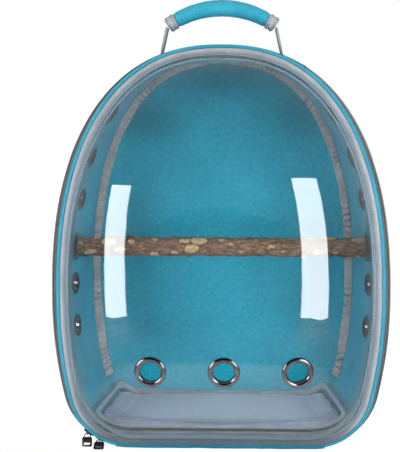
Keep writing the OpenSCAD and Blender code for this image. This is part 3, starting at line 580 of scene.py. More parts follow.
# plain-woven polyester over foam: dull, with a soft bloom at grazing angles and small slubs
teal_cloth = woven("teal_woven_polyester", "#2faac4", "#279db6", by_uv=True, contrast=0.16,
                   depth=0.15)
back_cloth = woven("teal_woven_polyester_lining", "#30b8cf", "#27a8c0", by_uv=True, patch=90,
                   contrast=0.18, depth=0.15, slub=0.13)
# painted shade: the lining is drawn darker in the panel's dents
recolour(back_cloth, lambda tree, shade: scaled(
    tree, shade, remap(tree, attribute(tree, "pressed"), 0.0, 1.0, 1.0, 0.52)).outputs[0])
dark_cloth = woven("dark_teal_woven_polyester", "#2f8ca6", "#277f9a", thread=2.0)
grip_cloth = woven("teal_handle_canvas", "#3db0cb", "#31a1be", by_uv=True, thread=1.6,
                   contrast=0.16)
# piping is a bias strip of the same cloth, drawn tight round a cord, so it looks smoother, and
# the hinge is the same cloth in a darker teal
satin = dict(thread=1.3, depth=0.12, rough=0.5, by_uv=True)
piping_cloth = woven("teal_piping_satin", "#3ba7c0", "#3098b2", **satin)
hinge_cloth = woven("dark_teal_hinge_satin", "#2f88a2", "#28798f", **satin)
# grosgrain tape: fine ribs across its width and a slight shine
grey_tape = woven("grey_grosgrain_tape", "#c4bcb9", "#a89f9d", by_uv=True, ribs=1.9, thread=1.5,
                  rough=0.6, depth=0.35, patch=20)
slate_tape = woven("slate_grosgrain_tape", "#a3a9b6", "#8e95a4", ribs=1.9, thread=1.5,
                   rough=0.6, depth=0.3, patch=20)
pale_tape = woven("pale_grey_satin_tape", "#aaadb2", "#969a9f", by_uv=True, ribs=1.7, rough=0.42,
                  depth=0.12, patch=30)
LOW_GREY_FROM, LOW_GREY_TO = 0.013, 0.03


def inner_shade_and_low_grey(tree, shade):
    """Painted shade: the tape turns a dark grey-teal towards its inner edge, by the dome's foot.
    Low down, below 30 mm, it turns gradually to a darker, warmer grey."""
    inner_shade = colour_mix(tree, attribute(tree, "inner"), shade, "#5a6a73")
    height = add(tree, "ShaderNodeSeparateXYZ", {0: object_place(tree)}).outputs["Z"]
    return colour_mix(tree, remap(tree, height, LOW_GREY_FROM, LOW_GREY_TO, 0.8, 0.0), inner_shade,
                      "#595660")


recolour(pale_tape, inner_shade_and_low_grey)
# painted shadow line: a dark grey band along the front of the tape's inner edge, by the dome
shadow_line_tape = woven("folded_tape_selvedge", "#6f787f", "#5c656c", by_uv=True, ribs=1.7, rough=0.6,
                 patch=20)
zip_cloth = woven("zip_tape_twill", "#5c5857", "#4d4948", by_uv=True, ribs=1.4, thread=1.4,
                  rough=0.7, patch=20)
strap_weave = woven("charcoal_nylon_webbing", "#5b5f64", "#4d5156", ribs=2.4, thread=1.8,
                    rough=0.55, depth=0.4)
grey_weave = woven("grey_nylon_webbing", "#bdbec0", "#a8aaad", by_uv=True, ribs=2.2, thread=1.8,
                   rough=0.5, depth=0.4)
# brushed flannel: a raised nap that blooms at grazing angles
mat_cloth = woven("slate_brushed_flannel", "#8d99ad", "#8492a6", thread=1.5, depth=0.12,
                  rough=0.8, sheen=0.5, patch=35)
thread_grey, thread_teal, thread_black = (
    woven(colour + "_sewing_thread", pale, dark, thread=0.9, depth=0.1, rough=0.5)
    for colour, pale, dark in (("grey", "#b9bdc2", "#a9adb2"), ("teal", "#4fa9bf", "#3f97ad"),
                               ("charcoal", "#74787e", "#62666c")))
print(len(bpy.data.materials), "finishes so far")


# %% Spacer mesh, metal, plastic
HOLE = 3.2 * MM
foam_mesh, tree, body = new_finish("grey_spacer_mesh", Roughness=0.85, Sheen_Weight=0.2, IOR=1.5)
# knitted spacer fabric: round holes in an even net over a darker layer
cell = add(tree, "ShaderNodeTexVoronoi", {"Vector": object_place(tree)}, Scale=1 / HOLE,
           Randomness=0.25)
join_shader(tree, body, Base_Color=two_tone(tree, cell, "#2f3236", "#696d73", 0.25, 0.42),
            Normal=bump(tree, cell, 0.7, 0.6))


def hard(name, pale, dark, rough, spread=0.08, metal=0.0, grain=6, depth=0.02):
    """Metal or plastic with patches of wear: the colour and the gloss drift a little, and fine
    marks lift the surface."""
    finish, tree, body = new_finish(name, Metallic=metal)
    where = object_place(tree)
    marks = noise_at(tree, where, 1 / (0.35 * grain * MM), 4.0)
    join_shader(tree, body, Base_Color=mottled(tree, where, pale, dark, grain),
                Roughness=remap(tree, marks, 0.3, 0.7, rough - spread, rough + spread),
                Normal=bump(tree, marks, 0.25, depth))
    return finish


# black-nickel plating: a dark mirror, a little warmer where it is rubbed
gunmetal = hard("black_nickel_plated_brass", "#8b8688", "#6c686c", 0.16, 0.06, metal=1.0)
steel = hard("zinc_plated_steel", "#a9aaac", "#8d8e91", 0.34, metal=1.0)
enamel = hard("black_enamelled_zinc", "#242426", "#151517", 0.28, grain=3)
acetal = hard("black_moulded_acetal", "#26272a", "#1c1d1f", 0.42, grain=9)
coil_plastic = hard("charcoal_nylon_coil", "#423b38", "#332e2c", 0.5, grain=8)
board_plastic = hard("black_polypropylene_board", "#2f3034", "#26272a", 0.5, grain=12,
                     depth=0.05)
print(len(bpy.data.materials), "finishes so far")

# %% [markdown]
# ## Clear film
# The dome is vacuum-formed from clear PET sheet. It is a real 1.2 mm wall of glass-like
# plastic, with faint drawing marks that bend its reflections. Lamps have to reach the cloth
# behind it, so for rays from lamps the material is plainly transparent.

# %% Clear film
clear_film, tree, film = new_finish("clear_vacuum_formed_pet", Base_Color=srgb("#f4f9fb"),
                                    Transmission_Weight=1.0, Roughness=0.012, IOR=1.57)
marks = noise_at(tree, object_place(tree), 1 / (38 * MM), 2.0)
join_shader(tree, film, Normal=bump(tree, marks, 0.12, 1.0))
lamp_ray = add(tree, "ShaderNodeLightPath").outputs["Is Shadow Ray"]
through = add(tree, "ShaderNodeBsdfTransparent", Color=srgb("#f1f6f8"))
either = add(tree, "ShaderNodeMixShader", {0: lamp_ray, 1: film, 2: through})
tree.links.new(either.outputs[0], tree.nodes["Material Output"].inputs["Surface"])
print("clear film, IOR", film.inputs["IOR"].default_value)

# %% [markdown]
# ## Putting a piece on its body
# Every piece gets its finish, the body it rides on and the solids that it stands for.

# %% Dress helper
def dress(piece, finish, body, slot, *stands_for):
    piece.data.materials.clear()
    piece.data.materials.append(finish)
    if body:
        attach(piece, body)
    if stands_for:
        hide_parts(*stands_for)
    return piece


def stitches(name, runs, finish, body, spacing=3.1, unit=stitch_shape, wobble=0.05):
    """Stitches or teeth spacing mm apart along the runs, as one piece."""
    piece = run_tree(line_object(name, runs), along_line, spacing=spacing * MM, unit=unit,
                     finish=finish, wobble=wobble)
    piece.data.shade_smooth()
    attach(piece, body)
    return piece


def edit_mesh(piece, change):
    """Runs a change on a piece's mesh."""
    bm = bmesh.new()
    bm.from_mesh(piece.data)
    change(bm)
    bm.to_mesh(piece.data)
    bm.free()


def merge_triangles(bm):
    bmesh.ops.remove_doubles(bm, verts=bm.verts, dist=0.02 * MM)
    bmesh.ops.dissolve_limit(bm, angle_limit=math.radians(1), verts=bm.verts, edges=bm.edges)


def copy_of(node, name):
    """A copy of a solid's mesh with its loose triangles merged."""
    piece = new_object(name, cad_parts[node].data.copy())
    edit_mesh(piece, merge_triangles)
    return piece


def softened(node, name, bevel, segments=3, levels=0):
    """A copy of a solid with its edges rounded by bevel mm, for flat cloth and small parts."""
    piece = copy_of(node, name)
    edge = piece.modifiers.new("edge", "BEVEL")
    edge.width, edge.segments = bevel * MM, segments
    edge.limit_method, edge.angle_limit = "ANGLE", math.radians(35)
    if levels:
        fine = piece.modifiers.new("fine", "SUBSURF")
        fine.levels = fine.render_levels = levels
    apply_modifiers(piece).data.shade_smooth()
    return piece


print(len(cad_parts), "solids to dress")

# %% [markdown]
# ## Padded cloth by simulation
# A pad is cloth sewn round foam. Its solid is copied, remeshed into even voxels, and inflated
# for twenty steps of Cloth with a little pressure, which rounds it between its edges and leaves
# the slight unevenness of real padding. No point may move further than a cap, so the pad keeps
# its place.

# %% Padding helper
CLOTH_STEPS, CLOTH_STIFFNESS, PAD_FILL = 20, 25, 0.6


def points_of(piece):
    return np.array([v.co for v in piece.data.vertices])


def padded(node, name, voxel, pressure, cap):
    """A solid's copy as an inflated pad. The voxel and the cap are in mm."""
    piece = copy_of(node, name)
    mesh_size = piece.modifiers.new("even", "REMESH")
    mesh_size.mode, mesh_size.voxel_size = "VOXEL", voxel * MM
    apply_modifiers(piece)
    before = points_of(piece)
    cloth = piece.modifiers.new("cloth", "CLOTH")
    cloth.settings.use_pressure, cloth.settings.uniform_pressure_force = True, pressure
    cloth.settings.tension_stiffness = cloth.settings.compression_stiffness = CLOTH_STIFFNESS
    cloth.settings.effector_weights.gravity = 0
    cloth.collision_settings.use_collision = False
    for step in range(1, CLOTH_STEPS + 1):
        bpy.context.scene.frame_set(step)
    apply_modifiers(piece)
    bpy.context.scene.frame_set(1)
    move = points_of(piece) - before
    far = np.maximum(np.linalg.norm(move, axis=1), 1e-9)
    move *= (np.minimum(far, cap * MM) / far)[:, None]
    piece.data.vertices.foreach_set("co", (before + move).astype(np.float32).ravel())
    smooth = piece.modifiers.new("ease", "SMOOTH")
    smooth.factor, smooth.iterations = 0.5, 6
    fine = piece.modifiers.new("fine", "SUBSURF")
    fine.levels = fine.render_levels = 1
    apply_modifiers(piece)
    face_outwards(piece)
    piece.data.shade_smooth()
    moved = float(np.linalg.norm(move, axis=1).max()) / MM
    print(name, "moved up to", round(moved, 1), "mm")
    return piece


print("cloth runs for", CLOTH_STEPS, "steps a pad")

# %% [markdown]
# ## The shell's wall
# The side wall is two layers of cloth over 4 mm of foam. It could be remeshed and inflated,
# but its weave has to follow the arch, so it is a grid along the outline whose faces bulge
# between the seams and sink where an eyelet clamps it. The eyelet holes are cut by a Boolean.

# %% Eyelet places
PERCH_Y, PERCH_Z, EYELET_RISE, EYELET_PITCH = ZIP_Y + 64, 201, 6, 46
EYELET_HOLE, ROD_HOLE, DOME_HOLE = 18.4, 10.0, 22.0
CLAMPED, FREE_FROM_EYELET, FREE_FROM_SEAM = 14, 16, 12


def wall_place(side, z, y):
    """Matrix, in mm, that stands on the wall with Z outwards, as the solids' own."""
    h = z - STAND_H
    lean = math.atan2(half_width(h - 1) - half_width(h + 1), 2)
    yaw = math.atan(half_width(h) * (1 - BACK_W / SHELL_W) / (SHELL_D - ZIP_FLAT))
    flip = Matrix.Scale(-1, 4, (1, 0, 0)) if side < 0 else Matrix.Identity(4)
    return (Matrix.Translation((side * half_width(h) * taper(y), y, z)) @ flip
            @ Matrix.Rotation(yaw, 4, "Z") @ Matrix.Rotation(math.pi / 2 - lean, 4, "Y"))


heights = [PERCH_Z] + [PERCH_Z + EYELET_RISE + i * EYELET_PITCH for i in (-2, -1, 1, 2, 3)]
eyelet_places = [wall_place(side, z, PERCH_Y) for side in (-1, 1) for z in heights]
eyelet_points = np.array([p.translation[:] for p in eyelet_places])


def cut_holes(piece, places, sizes, length):
    """Cuts round holes through a piece. Sizes are their diameters and length is how far they
    reach, in mm."""
    bm = bmesh.new()
    for place, size in zip(places, sizes):
        m = place.copy()
        m.translation = m.translation * MM
        bmesh.ops.create_cone(bm, cap_ends=True, segments=40, radius1=size / 2 * MM,
                              radius2=size / 2 * MM, depth=length * MM, matrix=m)
    bmesh.ops.recalc_face_normals(bm, faces=bm.faces)
    drill = new_object("drill", bpy.data.meshes.new("drill"))
    bm.to_mesh(drill.data)
    bm.free()
    cut = piece.modifiers.new("holes", "BOOLEAN")
    cut.operation, cut.solver, cut.object = "DIFFERENCE", "EXACT", drill
    apply_modifiers(piece)
    bpy.data.objects.remove(drill)


print(len(eyelet_places), "holes to cut in the wall")


# %% Side wall
def wall_section():
    """Closed section of the wall: outer face, back edge, inner face, front edge."""
    out = [(0.9 * math.sin(math.pi * v) ** 0.6, WALL_Y + 1 + (BACK_Y - WALL_Y - 2) * v)
           for v in np.linspace(0, 1, 30)]
    back = [(-WALL_T + 0.1, p[1]) for p in out[::-1]]
    ends = [[(-0.8, y), (-WALL_T + 0.8, y)] for y in (BACK_Y, WALL_Y)]
    return np.array(out + ends[0] + back + ends[1][::-1])


def wall_relief(run, p):
    """How far the padding bulges, which is nothing at the seams and where an eyelet clamps."""
    near = np.min(np.linalg.norm(eyelet_points - p, axis=1))
    from_eyelet = within((near - CLAMPED) / FREE_FROM_EYELET)
    from_seam = within(min(p[1] - WALL_Y, BACK_Y - p[1]) / FREE_FROM_SEAM)
    bulge = 0.25 + lift(p, 0.9, 42, 1.7) + lift(p, 0.35, 15, 4.1)
    return from_eyelet * from_seam * bulge


side_wall = sweep("padded_side_wall", outline(4.0), wall_section(), relief=wall_relief)
cut_holes(side_wall, eyelet_places, ([ROD_HOLE] + [EYELET_HOLE] * 5) * 2, length=24)
side_wall.data.shade_smooth()
dress(side_wall, teal_cloth, "shell", "teal_canvas", "side_wall")
for edge_name, edge_y in (("back", BACK_Y - 5), ("front", WALL_Y + 5)):
    stitches("wall_topstitch_" + edge_name, [skin_line(outline(), 0.45, edge_y)], thread_teal,
             "shell", spacing=3.6)
print("side wall", len(side_wall.data.polygons), "faces")


# %% Back panel
# soft dents where the padding has slackened: x, z, half width, half height and depth in mm
DENTS = [(-92, 338, 38, 25, 5.0), (98, 346, 34, 30, 3.4), (-8, 386, 84, 22, 3.8),
         (-98, 205, 24, 75, 4.0), (112, 130, 20, 80, 3.0), (-84, 90, 46, 24, 2.5)]
PANEL_RINGS, PANEL_STEP, PANEL_MIDDLE, CROWN_FRONT, CROWN_BACK = 40, 4.5, 0.47, 5.0, 1.2
# beside the mat the panel has LEAST_SWELL of its swell, and FREE_OVER mm over ABOVE_MAT all of it
ABOVE_MAT, FREE_OVER, LEAST_SWELL, DEEP_DENT = 105, 60, 0.35, 6


def dent(x, z):
    """Depth of the dents at a point of the back panel, in mm."""
    return sum(d * math.exp(-((x - cx) / w) ** 2 - ((z - cz) / h) ** 2)
               for cx, cz, w, h, d in DENTS)


def panel_face(inset, y, crown):
    """Rings that grow from the panel's middle to its edge. The front face swells towards -Y,
    has the dents, and is flatter down by the mat."""
    edge = [np.array((x * taper(BACK_Y) - inset * nx, STAND_H + z - inset * nz))
            for x, z, nx, nz, run in outline(PANEL_STEP, closed=True)]
    middle = np.array((0, STAND_H + SHELL_H * PANEL_MIDDLE))
    face, front = [], crown < 0
    for k in np.linspace(0.02, 1, PANEL_RINGS):
        row = []
        for q in edge:
            p = middle + (q - middle) * k
            free = within((p[1] - ABOVE_MAT) / FREE_OVER, LEAST_SWELL) if front else 1
            wave = lift((p[0], y, p[1]), 2.6, 75, 2.3) + lift((p[0], y, p[1]), 0.6, 26, 5.9)
            wave = wave * free + dent(*p) if front else -wave
            row.append((p[0], y + crown * (1 - k ** 4) * free + wave * (1 - k ** 6), p[1]))
        face.append(row)
    return face


back = grid("padded_back_panel", panel_face(0, BACK_Y, -CROWN_FRONT)
            + panel_face(2, BACK_Y + BACK_T, CROWN_BACK)[::-1])
for loop, corner in zip(back.data.loops, back.data.uv_layers["UVMap"].data):
    co = back.data.vertices[loop.vertex_index].co
    corner.uv = (co.x, co.z)
# the dents' depth, kept for the lining's painted shade
store(back, "pressed", [min(dent(v.co.x / MM, v.co.z / MM) / DEEP_DENT, 1)
                        if v.co.y < (BACK_Y + BACK_T / 2) * MM else 0
                        for v in back.data.vertices])
dress(back, back_cloth, "shell", "teal_canvas", "back_panel")
print("back panel", len(back.data.polygons), "faces")


# %% Base, seam bindings, piping
def pucker(amount, pitch, seed):
    """Relief of a tape gathered by its stitching: short folds across it, stronger in patches."""
    def relief(run, p):
        drift = run / pitch + 1.4 * noise.noise(Vector((run / 31, seed, p[1] / 12)))
        fold = abs(math.sin(math.pi * drift)) ** 0.6 - 0.6
        patch = 0.6 + 0.7 * noise.noise(Vector((run / 45, seed + 9, 0)))
        return amount * (fold * patch + 0.5 * lift(p, 1.0, 24, seed))
    return relief


def sway_of(amount, size, seed):
    """Relief of a band that lies a little unevenly."""
    return lambda run, p: lift(p, amount, size, seed)


base = softened("base_panel", "cloth_covered_base", bevel=1.6, segments=4)
dress(base, dark_cloth, "shell", "dark_teal_canvas", "base_panel")
ring_path, fine_ring_path = outline(closed=True), outline(2.0, closed=True)
back_cord = sweep("back_seam_piping", ring_path, round_section(off=2.2, y=BACK_Y, d=4.2),
                  closed=True)
dress(back_cord, piping_cloth, "shell", "teal_piping", "back_piping")
seam_section = rounded([(-4.15, BACK_Y - 7.5), (-4.15, BACK_Y - 0.2), (-12.2, BACK_Y - 0.5),
                        (-10.2, BACK_Y - 4.6)], r=1.4, edge=1.4)
# the tape starts and ends behind the mat, most of the way round the bottom corners
SEAM_TURN = 62
seam_tape = sweep("gathered_seam_tape", outline(1.1, SEAM_TURN, SEAM_TURN), seam_section,
                  relief=pucker(amount=2.3, pitch=7.5, seed=1.3))
dress(seam_tape, grey_tape, "shell", "grey_binding", "seam_binding_inner")
front_tape = sweep("front_lining_tape", fine_ring_path,
                   box_section(-5.6, -4.15, WALL_Y - 5, WALL_Y + 11, 0.5, edge=2.0),
                   closed=True, relief=pucker(amount=1.3, pitch=9.0, seed=7.7))
dress(front_tape, grey_tape, "shell", "grey_binding", "front_lining")
print("seam tape", len(seam_tape.data.polygons), "faces")

# %% [markdown]
# ## The zip
# Each half is a twill tape with a nylon coil sewn to its edge. The tape is a thin band, and
# the coil's turns are rings set 1.9 mm apart by the tree, which is a little coarser than a real
# number 5 coil, so that they show.

# %% Zip tapes and coils
TAPE_OFF, TOOTH_PITCH, TOOTH_REACH, SEAM_ASIDE = -TAPE_T - 1, 1.9, 0.5, 2.6
# where the sliders stand on the corner, in degrees, and half the length of one in mm
LOWER_TURN, UPPER_TURN, SLIDER_HALF = 13, 35.5, 5.5
COIL_OFF = TAPE_OFF + TAPE_T / 2
half_turn = math.degrees(SLIDER_HALF / (CORNER_R + COIL_OFF - COIL_T / 2))
for half, front, start, far in (("shell", 1, LOWER_TURN, WALL_Y + 0.3),
                                ("door", -1, UPPER_TURN + half_turn + 2, RIM_Y + 1.75)):
    path = outline(3.0, LOWER_TURN, start)
    coil_y = ZIP_Y + front * (SLIT / 2 + COIL_W / 2)
    edge = coil_y + front * (COIL_W / 2 - 0.6)
    section = box_section(TAPE_OFF, TAPE_OFF + TAPE_T, min(edge, far), max(edge, far), 0.35,
                          edge=2.5)
    tape = sweep(half + "_zip_twill", path, section,
                 relief=sway_of(amount=0.35, size=18, seed=3.3))
    dress(tape, zip_cloth, half, "zip_tape", half + "_zip_tape")
    # the teeth reach into the slit, so that the closed halves meet, and the first one stands
    # clear of the slider's mouth
    tooth_path = outline(3.0, LOWER_TURN, start + (2 if half == "door" else 0))
    teeth = stitches(half + "_zip_teeth",
                     [skin_line(tooth_path, COIL_OFF + 0.3, coil_y - front * TOOTH_REACH)],
                     coil_plastic, half, spacing=TOOTH_PITCH, unit=tooth_shape,
                     wobble=0.0)
    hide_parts(half + "_zip_coil")
    seam_y = (edge + far) / 2 + front * SEAM_ASIDE
    stitches(half + "_zip_stitches", [skin_line(path, TAPE_OFF + TAPE_T + 0.1, seam_y)],
             thread_grey, half)
    print(half, "zip,", len(teeth.data.polygons), "tooth faces")

# %% Fabric hinge
HINGE_TURN, HINGE_T = 11, 1.5
bend = [(*arc_at(CORNER_X, CORNER_R, CORNER_R, t), 0) for t in np.linspace(HINGE_TURN, 0, 6)]
flat = [(x, 0.0, 0.0, -1.0, 0) for x in np.linspace(CORNER_X, -CORNER_X, 90)[1:-1]]
facing_path = bend + flat + [(-x, z, -nx, nz, 0) for x, z, nx, nz, _ in bend[::-1]]
strip_path = [(x - nx * HINGE_T / taper(WALL_Y), z, nx, nz, 0) for x, z, nx, nz, _ in facing_path]
strip_section = box_section(-HINGE_T, 0.0, RIM_Y + DOME_T + BINDING_T, WALL_Y, 0.5, edge=1.2)
hinge = sweep("fabric_hinge", strip_path, strip_section, at_taper=WALL_Y,
              relief=sway_of(amount=0.3, size=16, seed=6.6))
dress(hinge, hinge_cloth, None, "dark_teal_canvas", "hinge_strip")
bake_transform(hinge)
# its front end is turned up over the door's piping, as a thicker teal band along the bottom
facing_section = rounded([(0.7, RIM_Y - 2.4), (-4.3, RIM_Y - 2.4), (-4.3, RIM_Y + 2.5),
                          (0.7, RIM_Y + 2.5)], r=1.7, edge=1.2)
facing = sweep("hinge_facing", facing_path, facing_section, at_taper=RIM_Y,
               relief=sway_of(amount=0.35, size=14, seed=8.2))
dress(facing, hinge_cloth, "door", "dark_teal_canvas")
print("hinge", len(hinge.data.polygons), "faces")

# %% [markdown]
# ## The door: binding, piping and dome
# A pale satin tape folds round the dome's flange and a cord piping finishes its edge. The dome
# is drawn from the outline: each ring is the outline shrunk towards the middle while it moves
# forwards over a superellipse, which gives a flat front and full, round sides.

# %% Binding and piping
# how far inside the outline the binding's painted shade begins, over how many mm it deepens,
# and where its painted shadow line begins
INNER_SHADE_FROM, INNER_SHADE_OVER, SHADOW_LINE_FROM = 5.5, 5, 9.9
p_in = -PIPING_D - 0.12
fold_in, fold_out = p_in - BINDING_W + 0.1, p_in - BINDING_T
binding = sweep("door_binding_tape", fine_ring_path, rounded([
    (p_in, RIM_Y - 1.4), (p_in, RIM_Y + 2.6), (fold_in, RIM_Y + 2.6), (fold_in, RIM_Y + 1.3),
    (fold_out, RIM_Y + 1.3), (fold_out, RIM_Y), (fold_in, RIM_Y), (fold_in, RIM_Y - 1.4)],
    r=0.6, steps=2, edge=1.6), closed=True, relief=pucker(amount=0.3, pitch=9.0, seed=2.9))
dress(binding, pale_tape, "door", "pale_binding", "door_binding")
binding.data.materials.append(shadow_line_tape)
edge_line = np.array([(x * taper(RIM_Y), STAND_H + z) for x, z, _, _, _ in fine_ring_path])


def edge_reach(p):
    """How far a point lies inside the outline at the rim, in mm."""
    return float(np.hypot(*(edge_line - (p.x / MM, p.z / MM)).T).min())


# front faces near the inner edge take the painted shadow line
for face in binding.data.polygons:
    in_front = face.center.y < (RIM_Y - 0.8) * MM
    face.material_index = int(in_front and edge_reach(face.center) > SHADOW_LINE_FROM)
# how far inside the outline each point lies, as the share of the tape's painted shade
store(binding, "inner", [within((edge_reach(v.co) - INNER_SHADE_FROM) / INNER_SHADE_OVER)
                         for v in binding.data.vertices])
piping = sweep("door_seam_piping", ring_path, round_section(-PIPING_D / 2, RIM_Y, PIPING_D),
               closed=True)
dress(piping, piping_cloth, "door", "teal_piping", "door_piping")
stitches("door_binding_stitches",
         [skin_line(ring_path, p_in - 6.4, RIM_Y - 1.35, (0.0, 1.0))], thread_grey,
         "door")
print("binding", len(binding.data.polygons), "faces")

# %% Dome
DOME_D, DOME_POWER, DOME_MIDDLE, DOME_INSET = 100, 4, 205, PIPING_D + BINDING_W + 1
EYELET_GAP, EYELET_X, EYELET_Z = 68.5, 5, 105
dome_foot, dome_wide = STAND_H + DOME_INSET, (RIM_W / 2 - DOME_INSET) / (SHELL_W / 2)
dome_tall = (SHELL_H - 2 * DOME_INSET) / SHELL_H
dome_path = outline(5.0, closed=True)


def dome_ring(s, t):
    """Ring of the dome where the outline is drawn in to share s, for a wall set in by t."""
    y = RIM_Y - (DOME_D - t) * math.sqrt(max(1 - s ** DOME_POWER, 0))
    wide = dome_wide * (1 - t / (RIM_W / 2 - DOME_INSET)) * s
    tall = (1 - t / DOME_MIDDLE) * s
    return [(x * wide, y, DOME_MIDDLE + (dome_foot + z * dome_tall - DOME_MIDDLE) * tall)
            for x, z, nx, nz, run in dome_path]


def flange(off, y):
    return [(x * taper(y) + nx * off, y, STAND_H + z + nz * off)
            for x, z, nx, nz, run in dome_path]


# shares from the foot to the middle, close together where the dome turns away from its foot
turns = np.radians(np.linspace(0, 78, 40))
shares = list(np.cos(turns) ** 0.5) + list(np.linspace(math.cos(turns[-1]) ** 0.5, 0.01, 16)[1:])
rows = [dome_ring(s, 0) for s in shares[::-1]]
rows[-1] = [(x, RIM_Y, z) for x, _, z in rows[-1]]
rows += [flange(-PIPING_D - BINDING_T, RIM_Y + y) for y in (0.05, DOME_T)]
rows += [[(x, RIM_Y + DOME_T, z) for x, _, z in dome_ring(1, DOME_T)]]
rows += [dome_ring(s, DOME_T) for s in shares[1:]]
dome = grid("clear_dome", rows)


def foot_share(x, z):
    """Share of the dome's foot that passes through a point of the front view."""
    low, high = 0.001, 1.0
    for _ in range(22):
        s = (low + high) / 2
        h = ((z - DOME_MIDDLE) / s + DOME_MIDDLE - dome_foot) / dome_tall
        inside = 0 < h < SHELL_H and abs(x) / s < half_width(h) * dome_wide
        low, high = (low, s) if inside else (s, high)
    return high


def dome_y(x, z):
    return RIM_Y - DOME_D * math.sqrt(max(1 - foot_share(x, z) ** DOME_POWER, 0))


def dome_place(x, z):
    """Matrix, in mm, that stands on the dome with Z outwards."""
    tip = -math.atan2(dome_y(x, z + 8) - dome_y(x, z - 8), 16)
    swing = math.atan2(dome_y(x + 8, z) - dome_y(x - 8, z), 16)
    return (Matrix.Translation((x, dome_y(x, z), z)) @ Matrix.Rotation(tip, 4, "X")
            @ Matrix.Rotation(swing, 4, "Z") @ Matrix.Rotation(math.pi / 2, 4, "X"))


dome_places = [dome_place(EYELET_X + i * EYELET_GAP, EYELET_Z) for i in (-1, 0, 1)]
cut_holes(dome, dome_places, [DOME_HOLE] * 3, length=40)
dome.data.shade_smooth()
dome.data.set_sharp_from_angle(angle=math.radians(40))
dress(dome, clear_film, "door", "clear_shell", "dome")
print("dome", len(dome.data.polygons), "faces")

# %% [markdown]
# ## The branch perch
# The perch is a cut branch with its bark on: a crooked round stick, furrowed along its length,
# with pale oval scars where twigs were cut. A Geometry Nodes tree makes it: a curve with a
# wavering radius becomes a tube, noise stretched along the tube furrows it, and points spread
# over the tube raise a ring and sink a middle for each scar. Each scar, its dark lip and its
# pith are stored for the material.

# %% Branch tree
tree, branch_in = geometry_tree("branch_with_bark", [
    ("Half Length", "Float", 0.15), ("Radius", "Float", 0.01), ("Scar Gap", "Float", 0.02),
    ("Furrow", "Float", 0.0005), ("Seed", "Int", 4), ("Finish", "Material", None)])
half_length, radius, scar_gap, furrow, seed, finish = branch_in.outputs[1:7]
start = add(tree, "ShaderNodeCombineXYZ", {"X": maths(tree, "MULTIPLY", half_length, -1)})
end = add(tree, "ShaderNodeCombineXYZ", {"X": half_length})
line = add(tree, "GeometryNodeCurvePrimitiveLine", {"Start": start, "End": end})
fine_line = add(tree, "GeometryNodeResampleCurve", {"Curve": line}, mode="COUNT", Count=520)
spot = add(tree, "GeometryNodeInputPosition")
bow = noise_at(tree, spot, 14.0, 1.0).outputs["Color"]
bow_out = vector_maths(tree, "SUBTRACT", bow, (0.5, 0.5, 0.5))
bow_small = vector_maths(tree, "MULTIPLY", bow_out, (0, 0.0022, 0.0028))
crooked = add(tree, "GeometryNodeSetPosition", {"Geometry": fine_line, "Offset": bow_small})
hoop = add(tree, "GeometryNodeCurvePrimitiveCircle", {"Radius": radius}, Resolution=60)
tube = add(tree, "GeometryNodeCurveToMesh", {"Curve": crooked, "Profile Curve": hoop},
           Fill_Caps=True)
scars = add(tree, "GeometryNodeDistributePointsOnFaces",
            {"Mesh": tube, "Distance Min": scar_gap, "Seed": seed},
            distribute_method="POISSON", Density_Max=9000.0)
# scars are ovals twice as long as they are wide, of uneven size
squeeze = add(tree, "GeometryNodeTransform", {"Geometry": scars}, Scale=(0.5, 1, 1))
here = vector_maths(tree, "MULTIPLY", spot, (0.5, 1, 1))
near = add(tree, "GeometryNodeProximity", {"Geometry": squeeze, "Sample Position": here},
           target_element="POINTS").outputs["Distance"]
vary = remap(tree, noise_at(tree, spot, 45.0, 0.0), 0.35, 0.65, 0.62, 2.1)
apart = maths(tree, "MULTIPLY", near, vary)
rim, cut = (remap(tree, apart, low, high, 1.0, 0.0, interpolation_type="SMOOTHSTEP")
            for low, high in ((0.0026, 0.0042), (0.0024, 0.0031)))
pith = remap(tree, apart, 0.0003, 0.0011, 0.55, 0.0)
stretch = vector_maths(tree, "MULTIPLY", spot, (0.22, 1, 1))
furrows = remap(tree, noise_at(tree, stretch, 520.0, 3.0, Roughness=0.6), 0.3, 0.7, -1.0, 1.0)
total = maths(tree, "MULTIPLY", furrows, furrow)
for part in (remap(tree, noise_at(tree, spot, 75.0, 1.0), 0.3, 0.7, -0.0009, 0.0009),
             maths(tree, "MULTIPLY", rim, 0.0011), maths(tree, "MULTIPLY", cut, -0.0006)):
    total = maths(tree, "ADD", total, part)
push = scaled(tree, add(tree, "GeometryNodeInputNormal"), total)
marked = tube
for label, value in (("scar", cut), ("lip", rim), ("pith", pith)):
    marked = add(tree, "GeometryNodeStoreNamedAttribute", {"Geometry": marked, "Value": value},
                 data_type="FLOAT", domain="POINT", Name=label)
shaped = add(tree, "GeometryNodeSetPosition", {"Geometry": marked, "Offset": push})
end_tree(tree, shaped, finish)
branch_tree = tree

# %% Bark finish and branch
bark, tree, body = new_finish("dry_apple_bark", IOR=1.45)
where = object_place(tree)
long_way = add(tree, "ShaderNodeMapping", {"Vector": where}, Scale=(0.3, 1, 1))
fibre = noise_at(tree, long_way, 1 / (2.2 * MM), 5.0, Roughness=0.65)
tone = two_tone(tree, fibre, "#30211a", "#b18c6e", 0.3, 0.72)
tone.color_ramp.elements.new(0.5).color = srgb("#755747")
